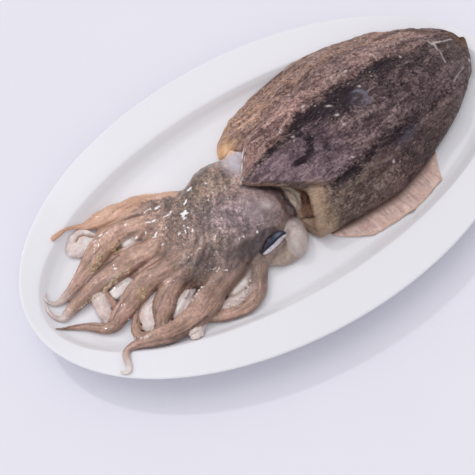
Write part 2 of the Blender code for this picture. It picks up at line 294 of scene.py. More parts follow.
def mantle_material():
    sh = Shade("wet_mantle_skin")
    s, t = sh.attribute("s"), sh.attribute("t")
    p = sh.place()
    dark, pale, tone_and_shade = sh.attribute("dark"), sh.attribute("pale"), sh.attribute("tone")
    # Streaks that follow the body, from long to short, then mottling and grains of pigment.
    long_streak = sh.noise(sh.combine(sh.m("MULTIPLY", s, 0.040), sh.m("MULTIPLY", t, 0.14), 0.0), 1.0, 4.0, 0.6, 0.9)
    short_streak = sh.noise(sh.combine(sh.m("MULTIPLY", s, 0.20), sh.m("MULTIPLY", t, 0.36), 3.0), 1.0, 4.0, 0.66, 1.4)
    mottle = sh.noise(p, 150.0, 5.0, 0.68, 0.7)
    grain = sh.noise(p, 470.0, 3.0, 0.7)
    speck = sh.voronoi(p, 520.0)
    glint_cell = sh.voronoi(sh.combine(sh.m("MULTIPLY", s, 0.19), sh.m("MULTIPLY", t, 0.46), 0.0), 1.0)
    colour = sh.mix(sh.attribute("violet"), rgb(107, 85, 83), rgb(114, 93, 102))
    colour = sh.mix(sh.attribute("olive"), colour, rgb(101, 85, 77))
    colour = sh.mix(sh.attribute("russet"), colour, rgb(147, 114, 108))
    colour = sh.mix(sh.attribute("warm"), colour, sh.mix(sh.range(mottle, 0.42, 0.60), rgb(160, 126, 108), rgb(114, 88, 80)))
    colour = sh.mix(sh.range(long_streak, 0.48, 0.64, 0.0, 0.5), colour, rgb(80, 61, 63))
    colour = sh.mix(pale, colour, rgb(173, 146, 125))
    thread = sh.noise(sh.combine(sh.m("MULTIPLY", s, 0.15), sh.m("MULTIPLY", t, 0.56), 7.0), 1.0, 4.0, 0.66, 1.2)
    swing = sh.m("MULTIPLY", sh.range(long_streak, 0.38, 0.62, 1.32, 0.76), sh.range(short_streak, 0.38, 0.62, 1.24, 0.84))
    swing = sh.m("MULTIPLY", swing, sh.range(thread, 0.38, 0.62, 0.84, 1.18))
    bold = sh.attribute("bold")
    swing = sh.m("ADD", sh.m("MULTIPLY", swing, bold), sh.m("SUBTRACT", 1.0, bold))
    # Fine pigment is strong in some places and nearly smooth in others.
    place = sh.noise(sh.combine(sh.m("MULTIPLY", s, 0.07), sh.m("MULTIPLY", t, 0.14), 11.0), 1.0, 3.0, 0.6, 1.2)
    area = sh.m("MULTIPLY", sh.range(place, 0.40, 0.60, 0.35, 1.25), bold)
    small = sh.m("MULTIPLY", sh.range(mottle, 0.40, 0.60, 0.80, 1.30), sh.range(grain, 0.40, 0.60, 0.56, 1.56))
    small = sh.m("ADD", sh.m("MULTIPLY", sh.m("SUBTRACT", small, 1.0), area), 1.0)
    swing = sh.m("MULTIPLY", swing, small)
    calm = sh.m("MULTIPLY", pale, 0.75)
    swing = sh.m("ADD", sh.m("MULTIPLY", swing, sh.m("SUBTRACT", 1.0, calm)), calm)
    # The skin is scaled by the tone, which carries painted shade from the relief.
    colour = sh.scale_colour(colour, sh.m("MULTIPLY", swing, tone_and_shade))
    # The lightest grains are a greyer beige than the skin between them.
    colour = sh.mix(sh.m("MULTIPLY", sh.range(swing, 1.05, 1.9, 0.0, 0.45), sh.m("SUBTRACT", 1.0, pale)), colour, sh.scale_colour(rgb(158, 141, 132), tone_and_shade))
    # Pigment gathers in broken patches and single dots; the dark patches also carry painted shade in the near groove
    # and along the far crease.
    broken = sh.m("ADD", dark, sh.m("MULTIPLY", sh.m("SUBTRACT", short_streak, 0.5), 1.3))
    broken = sh.m("SUBTRACT", broken, sh.m("MULTIPLY", sh.m("SUBTRACT", thread, 0.5), 1.2))
    broken = sh.m("SUBTRACT", broken, sh.m("MULTIPLY", sh.m("SUBTRACT", mottle, 0.5), 1.9))
    broken = sh.m("SUBTRACT", broken, sh.m("MULTIPLY", sh.m("SUBTRACT", grain, 0.5), 0.8))
    broken = sh.m("MULTIPLY", sh.range(broken, 0.0, 1.25, soft=True), sh.range(dark, 0.02, 0.35))
    pit = sh.mix(sh.range(thread, 0.42, 0.60), rgb(22, 12, 20), rgb(56, 42, 50))
    colour = sh.mix(sh.m("MULTIPLY", broken, 0.96), colour, pit)
    dots = sh.m("MULTIPLY", sh.range(speck, 0.40, 0.22), sh.range(short_streak, 0.48, 0.56))
    dots = sh.m("MULTIPLY", dots, sh.m("SUBTRACT", 1.0, pale))
    colour = sh.mix(sh.m("MULTIPLY", dots, 0.60), colour, rgb(46, 32, 38))
    cluster = sh.m("MULTIPLY", sh.range(short_streak, 0.54, 0.62), sh.range(place, 0.48, 0.60))
    cluster = sh.m("MULTIPLY", cluster, sh.m("SUBTRACT", 1.0, pale))
    colour = sh.mix(sh.m("MULTIPLY", cluster, 0.45), colour, rgb(52, 37, 42))
    # Painted highlights: short light flecks of wet glint along the skin.
    painted_glints = sh.m("MULTIPLY", sh.range(glint_cell, 0.24, 0.12), sh.range(short_streak, 0.50, 0.57))
    painted_glints = sh.m("MULTIPLY", painted_glints, sh.range(grain, 0.46, 0.52))
    painted_glints = sh.m("MULTIPLY", painted_glints, sh.attribute("painted_glint_area"))
    colour = sh.mix(sh.m("MULTIPLY", painted_glints, 0.80), colour, rgb(222, 206, 202))
    colour = sh.mix(sh.attribute("rim"), colour, sh.mix(sh.range(mottle, 0.42, 0.58), rgb(246, 204, 160), rgb(226, 172, 128)))
    colour = sh.mix(sh.attribute("blue_mark_and_sheen"), colour, rgb(122, 124, 142))
    # Painted highlights along the front edge and in single flecks, with the pale tear near the tail.
    colour = sh.mix(sh.attribute("white"), colour, rgb(240, 228, 224))
    # Brown inside the opening, partly painted shade of the recess.
    colour = sh.mix(sh.attribute("inner"), colour, sh.mix(sh.range(mottle, 0.4, 0.6), rgb(168, 130, 108), rgb(134, 98, 82)))
    # Painted shade: a dark line under the opening.
    colour = sh.mix(sh.m("MULTIPLY", sh.attribute("slit"), 0.85), colour, rgb(44, 30, 28))
    sh.set(Base_Color=colour)
    low = sh.bump(short_streak, 0.8, 1.4)
    mid = sh.bump(mottle, 0.9, 1.2, low)
    fine = sh.bump(grain, 0.8, 0.5, mid)
    sh.set(Normal=fine)
    film = sh.bump(sh.noise(p, 300.0, 2.0, 0.5, 0.6), 1.0, 0.7, low)
    wet(sh, sh.range(mottle, 0.35, 0.65, 0.60, 0.42), coat=0.20, coat_rough=0.06, flesh=0.03, film=film)
    sh.bsdf.inputs["Specular IOR Level"].default_value = 0.10
    return sh.mat


def fin_material():
    sh = Shade("wet_fin_flesh")
    p = sh.place()
    out = sh.attribute("out")
    s = sh.attribute("s")
    rays = sh.noise(sh.combine(sh.m("MULTIPLY", s, 0.34), sh.m("MULTIPLY", out, 0.9), 0.0), 1.0, 4.0, 0.6, 0.3)
    blotch = sh.noise(p, 120.0, 4.0, 0.6)
    grain = sh.noise(p, 480.0, 3.0, 0.7)
    near = sh.mix(sh.range(rays, 0.38, 0.64), rgb(224, 193, 183), rgb(190, 158, 149))
    near = sh.mix(sh.range(blotch, 0.5, 0.66), near, rgb(204, 166, 156))
    near = sh.mix(sh.range(out, 0.02, 0.34), rgb(118, 94, 86), near)
    near = sh.mix(sh.range(out, 0.90, 1.0), near, rgb(205, 168, 146))
    colour = sh.scale_colour(near, sh.range(grain, 0.34, 0.66, 0.84, 1.14))
    sh.set(Base_Color=colour)
    low = sh.bump(rays, 0.6, 1.0)
    fine = sh.bump(grain, 0.5, 0.35, low)
    sh.set(Normal=fine)
    wet(sh, sh.range(blotch, 0.3, 0.7, 0.42, 0.28), coat=0.5, flesh=0.30, film=low)
    return sh.mat


def arm_material():
    sh = Shade("wet_arm_skin")
    p = sh.place()
    along, turn, which = sh.attribute("along"), sh.attribute("turn"), sh.attribute("which")
    arm, tan = sh.attribute("arm"), sh.attribute("tan")
    pale, dark = sh.attribute("pale"), sh.attribute("dark")
    rough = sh.attribute("rough")
    band = sh.noise(sh.combine(sh.m("MULTIPLY", along, 0.035), sh.m("MULTIPLY", turn, 0.9), which), 1.0, 3.0, 0.5, 0.6)
    fibre = sh.noise(sh.combine(sh.m("MULTIPLY", along, 0.09), sh.m("MULTIPLY", turn, 4.2), which), 1.0, 3.0, 0.55, 0.5)
    blotch = sh.noise(p, 85.0, 4.0, 0.60, 0.6)
    patch = sh.noise(p, 300.0, 4.0, 0.66, 0.7)
    grain = sh.noise(p, 560.0, 3.0, 0.7)
    # Short strokes that cross the crown.
    stroke = sh.noise(sh.combine(sh.dot(p, (210.0, -120.0, 0.0)), sh.dot(p, (36.0, 62.0, 0.0)), sh.dot(p, (0.0, 0.0, 120.0))), 1.0, 4.0, 0.62, 0.6)
    speck = sh.voronoi(p, 520.0)
    head = sh.mix(sh.attribute("mauve"), rgb(156, 127, 115), rgb(138, 118, 122))
    head = sh.mix(sh.attribute("olive"), head, rgb(118, 97, 82))
    head = sh.mix(sh.m("MULTIPLY", sh.range(blotch, 0.44, 0.62), 0.35), head, rgb(108, 84, 84))
    swing = sh.m("MULTIPLY", sh.range(grain, 0.41, 0.59, 0.66, 1.38), sh.range(patch, 0.40, 0.60, 0.68, 1.38))
    swing = sh.m("MULTIPLY", swing, sh.range(stroke, 0.38, 0.62, 0.70, 1.34))
    swing = sh.m("MULTIPLY", swing, sh.range(blotch, 0.38, 0.62, 1.24, 0.80))
    swing = sh.m("ADD", sh.m("MULTIPLY", swing, rough), sh.m("SUBTRACT", 1.0, rough))
    head = sh.scale_colour(head, swing)
    skin = sh.mix(sh.range(band, 0.40, 0.60), rgb(201, 162, 144), rgb(159, 123, 108))
    skin = sh.mix(sh.m("MULTIPLY", sh.range(blotch, 0.44, 0.60), 0.55), skin, rgb(160, 129, 111))
    skin = sh.mix(sh.m("MULTIPLY", sh.range(blotch, 0.50, 0.40), 0.40), skin, rgb(198, 157, 148))
    # Painted shade: the arms are darker down their sides than along their tops.
    skin = sh.mix(sh.attribute("edge"), skin, rgb(108, 78, 66))
    skin = sh.mix(tan, skin, sh.mix(sh.range(band, 0.40, 0.58), rgb(222, 180, 157), rgb(196, 152, 126)))
    ribs = sh.m("MULTIPLY", sh.range(fibre, 0.38, 0.62, 1.18, 0.80), sh.range(grain, 0.40, 0.60, 0.86, 1.14))
    ribs = sh.m("MULTIPLY", ribs, sh.range(patch, 0.38, 0.62, 0.89, 1.11))
    ribs = sh.m("ADD", sh.m("MULTIPLY", ribs, sh.m("SUBTRACT", 1.0, sh.m("MULTIPLY", tan, 0.55))), sh.m("MULTIPLY", tan, 0.55))
    skin = sh.scale_colour(skin, ribs)
    # The tone carries painted shade on the near side of the head.
    colour = sh.scale_colour(sh.mix(arm, head, skin), sh.attribute("tone"))
    # Dark patches: pigment, and painted shade in creases and between the arms.
    broken = sh.m("ADD", dark, sh.m("MULTIPLY", sh.m("SUBTRACT", patch, 0.5), 1.7))
    broken = sh.m("ADD", broken, sh.m("MULTIPLY", sh.m("SUBTRACT", grain, 0.5), 1.3))
    broken = sh.m("MULTIPLY", sh.range(broken, 0.20, 1.0, soft=True), sh.range(dark, 0.02, 0.30))
    colour = sh.mix(sh.m("MULTIPLY", broken, 0.88), colour, sh.mix(arm, rgb(58, 41, 46), rgb(84, 60, 54)))
    dots = sh.m("MULTIPLY", sh.range(speck, 0.40, 0.24), sh.attribute("dots"))
    colour = sh.mix(sh.m("MULTIPLY", dots, 0.80), colour, rgb(70, 48, 54))
    # Painted highlights: small light dots on the papillae.
    papilla_highlights = sh.m("MULTIPLY", sh.range(sh.voronoi(p, 430.0), 0.30, 0.16), sh.attribute("dots"))
    colour = sh.mix(sh.m("MULTIPLY", papilla_highlights, 0.50), colour, rgb(196, 178, 168))
    colour = sh.mix(sh.attribute("gold"), colour, sh.mix(sh.range(patch, 0.42, 0.6), rgb(206, 172, 138), rgb(160, 124, 96)))
    white = sh.mix(sh.range(blotch, 0.38, 0.62), rgb(242, 235, 232), rgb(224, 202, 198))
    colour = sh.mix(pale, colour, sh.scale_colour(white, sh.range(grain, 0.3, 0.7, 0.95, 1.04)))
    colour = sh.mix(sh.attribute("milk"), colour, rgb(206, 197, 208))
    colour = sh.mix(sh.attribute("amber"), colour, rgb(240, 196, 152))
    colour = sh.mix(sh.attribute("beige"), colour, sh.scale_colour(rgb(204, 184, 168), sh.range(patch, 0.35, 0.65, 0.88, 1.10)))
    # Brown inside the hollow beside the neck, partly painted shade of the recess.
    colour = sh.mix(sh.attribute("inside"), colour, sh.mix(sh.range(patch, 0.4, 0.6), rgb(172, 132, 108), rgb(142, 104, 84)))
    # Painted shade: brown in the crease of the white disc.
    colour = sh.mix(sh.attribute("line"), colour, rgb(156, 118, 90))
    gleam = sh.m("ADD", sh.attribute("gleam"), sh.m("MULTIPLY", sh.m("SUBTRACT", grain, 0.5), 1.5))
    colour = sh.mix(sh.range(gleam, 0.34, 0.62, 0.0, 0.94), colour, rgb(252, 249, 249))
    sh.set(Base_Color=colour)
    low = sh.bump(fibre, 0.4, 0.7)
    mid = sh.bump(patch, 0.7, 0.8, low)
    fine = sh.bump(grain, 0.5, 0.35, mid)
    sh.set(Normal=fine)
    film = sh.bump(sh.noise(p, 260.0, 2.0, 0.5, 0.6), 1.0, 0.75, low)
    wet(sh, sh.range(patch, 0.35, 0.65, 0.48, 0.34), coat=1.0, coat_rough=0.05, flesh=0.16, film=film)
    sh.bsdf.inputs["Specular IOR Level"].default_value = 0.35
    return sh.mat


def glaze_material():
    sh = Shade("white_porcelain_glaze")
    p = sh.place()
    cloud = sh.noise(p, 14.0, 3.0, 0.5)
    fine = sh.noise(p, 160.0, 2.0, 0.5)
    under = sh.attribute("bare")
    colour = sh.mix(cloud, rgb(238, 237, 243), rgb(241, 240, 245))
    # Painted shade: the glaze is darker towards the near side.
    colour = sh.scale_colour(colour, sh.range(sh.dot(p, (-0.5, 1.0, 0.0)), -0.090, 0.060, 0.925, 0.985, soft=True))
    colour = sh.mix(under, colour, rgb(214, 208, 198))
    sh.set(Base_Color=colour)
    sh.set(Roughness=sh.range(under, 0.0, 1.0, 0.14, 0.75))
    sh.bsdf.inputs["IOR"].default_value = 1.5
    sh.bsdf.inputs["Coat Weight"].default_value = 0.25
    sh.bsdf.inputs["Coat Roughness"].default_value = 0.05
    low = sh.bump(cloud, 0.10, 0.5)
    sh.set(Normal=sh.bump(fine, 0.05, 0.05, low))
    return sh.mat


def plain_material(name, colour, roughness, **more):
    sh = Shade(name)
    p = sh.place()
    n = sh.noise(p, 9.0, 2.0, 0.5)
    sh.set(Base_Color=sh.scale_colour(colour, sh.range(n, 0.3, 0.7, 0.992, 1.006)))
    sh.bsdf.inputs["Roughness"].default_value = roughness
    for k, v in more.items():
        sh.bsdf.inputs[k.replace("_", " ")].default_value = v
    return sh.mat


# ---------------------------------------------------------------------------
# platter
# ---------------------------------------------------------------------------
FLOOR_Z = 10.0
PLATTER_TOP = (
    (168.0, 66.0, FLOOR_Z), (177.0, 73.5, FLOOR_Z + 0.9), (184.0, 79.5, FLOOR_Z + 4.0),
    (188.4, 83.6, FLOOR_Z + 8.2), (190.6, 86.2, FLOOR_Z + 10.4), (192.2, 90.0, FLOOR_Z + 11.2),
    (195.4, 102.0, FLOOR_Z + 12.6), (198.2, 113.4, FLOOR_Z + 13.8), (199.2, 115.6, 24.0),
)
PLATTER_UNDER = (
    (200.0, 116.5, 23.1), (199.3, 115.8, 21.6), (195.5, 106.0, 19.0), (190.0, 88.0, 15.8),
    (182.5, 79.0, 9.4), (170.0, 69.0, 5.4), (153.0, 60.5, 4.6), (151.0, 58.5, 0.0),
    (146.5, 54.0, 0.0), (144.5, 52.0, 3.8),
)


def spread(rows, steps):
    """Smooth profile through the rows, without passing their heights."""
    rows = np.asarray(rows, float)
    at = np.arange(len(rows))
    fine = np.linspace(0, len(rows) - 1, (len(rows) - 1) * steps + 1)
    i = np.clip(fine.astype(int), 0, len(rows) - 2)
    u = fine - i
    out = np.zeros((len(fine), rows.shape[1]))
    for k in range(rows.shape[1]):
        y = rows[:, k]
        d = np.diff(y)
        m = np.zeros(len(y))
        both = (d[1:] * d[:-1]) > 0
        m[1:-1] = np.where(both, 2 * d[1:] * d[:-1] / np.where(both, d[1:] + d[:-1], 1), 0.0)
        m[0], m[-1] = d[0] * 0.5, d[-1] * 0.5
        out[:, k] = ((2 * u ** 3 - 3 * u ** 2 + 1) * y[i] + (u ** 3 - 2 * u ** 2 + u) * m[i]
                     + (-2 * u ** 3 + 3 * u ** 2) * y[i + 1] + (u ** 3 - u ** 2) * m[i + 1])
    return out


TOP_FINE = spread(PLATTER_TOP, 6)


def glaze_height(x, y):
    """Height of the platter's glaze under each point."""
    x, y = np.broadcast_arrays(np.asarray(x, float), np.asarray(y, float))
    flat = np.hypot(x.ravel()[:, None] / TOP_FINE[None, :, 0], y.ravel()[:, None] / TOP_FINE[None, :, 1])
    inside = flat <= 1.0
    first = np.where(inside.any(axis=1), inside.argmax(axis=1), len(TOP_FINE) - 1)
    z = np.full(len(flat), TOP_FINE[0, 2])
    rows = np.nonzero(first > 0)[0]
    k = first[rows]
    a, b = flat[rows, k - 1], flat[rows, k]
    u = np.clip((a - 1.0) / np.maximum(a - b, 1e-9), 0, 1)
    z[rows] = TOP_FINE[k - 1, 2] + u * (TOP_FINE[k, 2] - TOP_FINE[k - 1, 2])
    return z.reshape(x.shape)


def build_platter():
    count = 288
    rows = [(TOP_FINE[0, 0] * q, TOP_FINE[0, 1] * q, FLOOR_Z) for q in (0.25, 0.5, 0.75, 0.92)]
    rows += [tuple(r) for r in TOP_FINE]
    edge = spread((PLATTER_TOP[-1],) + PLATTER_UNDER[:2], 5)[1:]
    rows += [tuple(r) for r in edge]
    rows += [tuple(r) for r in spread(PLATTER_UNDER[1:7], 4)[1:]]
    rows += [(152.2, 59.7, 3.4), (151.4, 58.9, 0.7), (150.6, 58.1, 0.0), (147.0, 54.5, 0.0),
             (146.2, 53.7, 0.7), (145.2, 52.7, 3.0), PLATTER_UNDER[-1], (120.0, 43.0, 3.8), (60.0, 22.0, 3.8)]
    rows = np.array(rows)
    a = np.linspace(0, 2 * np.pi, count, endpoint=False)
    verts = np.stack((rows[:, 0:1] * np.cos(a), rows[:, 1:2] * np.sin(a), np.repeat(rows[:, 2:3], count, 1)), -1)
    bare = np.repeat(((rows[:, 2] < 0.05)).astype(float)[:, None], count, 1)
    flat = verts.reshape(-1, 3)
    quads = grid_faces(len(rows), count, True)
    flat = np.vstack((flat, [[0, 0, FLOOR_Z], [0, 0, 3.8]]))
    n = len(rows) * count
    ring0, ring1 = np.arange(count), np.arange(n - count, n)
    tri = np.vstack((fan(ring0, n, True), fan(ring1, n + 1, False)))
    obj = make_object("platter_glaze", flat, quads,
                      {"bare": np.concatenate((bare.ravel(), [0, 0]))})
    add_triangles(obj, tri)
    orient_outwards(obj)
    obj.data.materials.append(glaze_material())
    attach(obj, "root")
    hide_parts("platter")
    return obj


def add_triangles(obj, tris):
    """Adds triangles on existing points of a mesh, keeping its attributes."""
    import bmesh
    bm = bmesh.new()
    bm.from_mesh(obj.data)
    bm.verts.ensure_lookup_table()
    for a, b, c in tris:
        try:
            face = bm.faces.new((bm.verts[int(a)], bm.verts[int(b)], bm.verts[int(c)]))
            face.smooth = True
        except ValueError:
            pass
    bm.to_mesh(obj.data)
    bm.free()


def orient_outwards(obj):
    import bmesh
    bm = bmesh.new()
    bm.from_mesh(obj.data)
    bmesh.ops.recalc_face_normals(bm, faces=bm.faces)
    if bm.calc_volume(signed=True) < 0:
        bmesh.ops.reverse_faces(bm, faces=bm.faces)
    bm.to_mesh(obj.data)
    bm.free()


# ---------------------------------------------------------------------------
# mantle
# ---------------------------------------------------------------------------
ORIGIN = (-32.0, 4.0)
TURN = math.radians(4.5)
LENGTH = 221.0
NEAR_HALF, FAR_HALF = 66.5, 57.5
NEAR_AT, FAR_AT = 88.0, 95.0


def mantle_xy(s, t):
    c, n = math.cos(TURN), math.sin(TURN)
    return ORIGIN[0] + s * c - t * n, ORIGIN[1] + s * n + t * c


def taper(s, widest, power):
    x = np.clip((s - widest) / (LENGTH - widest), 0.0, 1.0)
    return np.sqrt(np.maximum(1.0 - x ** power, 0.0))


def near_half(s):
    return (NEAR_HALF - 8.0 * (np.maximum(NEAR_AT - s, 0) / 64.0) ** 1.5) * taper(s, NEAR_AT, 1.4)


def far_half(s):
    return (FAR_HALF - 22.0 * (np.maximum(FAR_AT - s, 0) / 84.0) ** 2.4) * taper(s, FAR_AT, 1.68)


def back_height(s):
    front = 46.0 - 10.0 * (np.maximum(100.0 - s, 0) / 100.0) ** 1.6
    x = np.clip((s - 100.0) / (LENGTH - 100.0), 0, 1)
    return np.where(s < 100, front, 46.0 - 14.5 * x ** 1.8)


MARGIN = ((-72, 20.5), (-60, 20.0), (-57.5, 19.6), (-54, 19.8), (-50.5, 21.0), (-47.5, 22.6), (-42, 25.4), (-38, 27.4),
          (-34, 28.0), (-30, 26.4), (-25, 22.8), (-20, 18.6), (-12, 11.0), (-5, 4.0), (1, 0.3), (6, 3.0), (14, 11.0),
          (19, 17.5), (23, 19.5), (28, 17.5), (33, 14.0), (38, 11.5), (43, 11.5), (50, 15.0), (60, 20.0), (70, 22.0))


def near_groove(s):
    return table(s, ((8, -8), (22, -21.5), (31, -29.5), (43, -38.0), (56, -40.5), (83, -39), (115, -37), (147, -35.5),
                     (172, -32), (200, -22)))


def far_crease(s):
    return table(s, ((10, 25), (20, 27), (35, 31), (50, 34), (65, 37), (91, 40), (118, 41), (141, 37), (165, 28), (187, 17)))


def midline(s):
    return table(s, ((0, 1.5), (20, 3.5), (47, 5), (60, 7), (80, 7.5), (100, 8), (125, 9), (145, 8.5), (160, 4), (186, 3), (220, 0)))


def mantle_relief(s, t):
    """Folds and swellings of the back, in mm along the surface's normal."""
    live = smooth(0, 16, s) * (1 - smooth(196, 219, s))
    gn, gf = near_groove(s), far_crease(s)
    sharp = 1 - smooth(44, 66, s)
    edge = 0.8 + 3.0 * (1 - sharp)
    inside = smooth(-edge, edge, t - gn) * smooth(-3.5, 3.5, gf - t)
    h = (1.2 + 1.3 * sharp) * inside * smooth(0, 14, s) * (1 - smooth(180, 210, s))
    h += 0.6 * sharp * bell(t, gn + 1.4, 1.2) * smooth(6, 20, s)
    h -= 1.2 * sharp * bell(t, gn - 1.8, 1.6) * smooth(20, 30, s)
    h -= 1.9 * bell(t, gn - 1.5, 3.4) * smooth(48, 66, s) * (1 - smooth(150, 190, s))
    h -= 2.0 * bell(t, gf + 1.5, 2.8) * smooth(14, 30, s) * (1 - smooth(165, 195, s))
    h += 1.0 * bell(t, gn - 9.5, 5.0) * smooth(26, 50, s) * (1 - smooth(120, 170, s))
    h -= 1.2 * bell(t, gn - 16.0, 3.6) * smooth(50, 80, s) * (1 - smooth(130, 180, s))
    h += 0.9 * bell(t, midline(s) + 13, 6) * smooth(20, 50, s) * (1 - smooth(140, 190, s))
    h -= 1.1 * bell(t, midline(s) + 1, 4.5) * smooth(20, 60, s) * (1 - smooth(150, 200, s))
    h += 0.8 * bell(t, midline(s) - 9, 6) * smooth(30, 60, s) * (1 - smooth(150, 200, s))
    h += 1.5 * noise(s / 24.0, t / 15.0, 0.3, 3, 2) * live
    h += 1.3 * noise(s / 13.0, t / 6.0, 1.7, 5, 2) * live
    h += 0.55 * noise(s / 6.5, t / 4.5, 4.1, 8, 2)
    h += 0.32 * noise(s / 3.0, t / 2.5, 7.7, 9, 2)
    # The tail ends in a smooth swollen cap.
    cap = blob(s, t, 203, -12, 15, 17)
    h += 1.4 * cap - 0.9 * bell(s, 189 + 0.15 * t, 2.5) * smooth(-26, -18, t) * smooth(14, 8, t)
    # A round mark in the middle of the back.
    cs, ct = 103.0, -4.0
    ring = np.hypot(s - cs, (t - ct) * 1.05)
    h += 0.8 * bell(ring, 7.2, 1.2) * smooth(-4, 6, s - cs) - 0.6 * bell(ring, 0, 5.0)
    # A curved fold behind the front of the shield.
    ring = np.hypot((s - 41.0) / 1.2, (t + 5.0))
    arc = smooth(-6, 8, s - 41.0 - 0.7 * (t + 5.0)) * smooth(3, -2, t)
    h -= 1.5 * bell(ring, 10.2, 1.9) * arc
    h += 0.9 * bell(ring, 6.6, 1.8) * arc
    return h


def within(A, B, corners, soft):
    """One inside a convex outline that runs clockwise in the plan, fading to nothing over its edge."""
    d = np.full(np.shape(A), 1e9)
    for (a0, b0), (a1, b1) in zip(corners, corners[1:] + corners[:1]):
        ea, eb = a1 - a0, b1 - b0
        d = np.minimum(d, ((A - a0) * eb - (B - b0) * ea) / math.hypot(ea, eb))
    return smooth(-soft, soft, d)


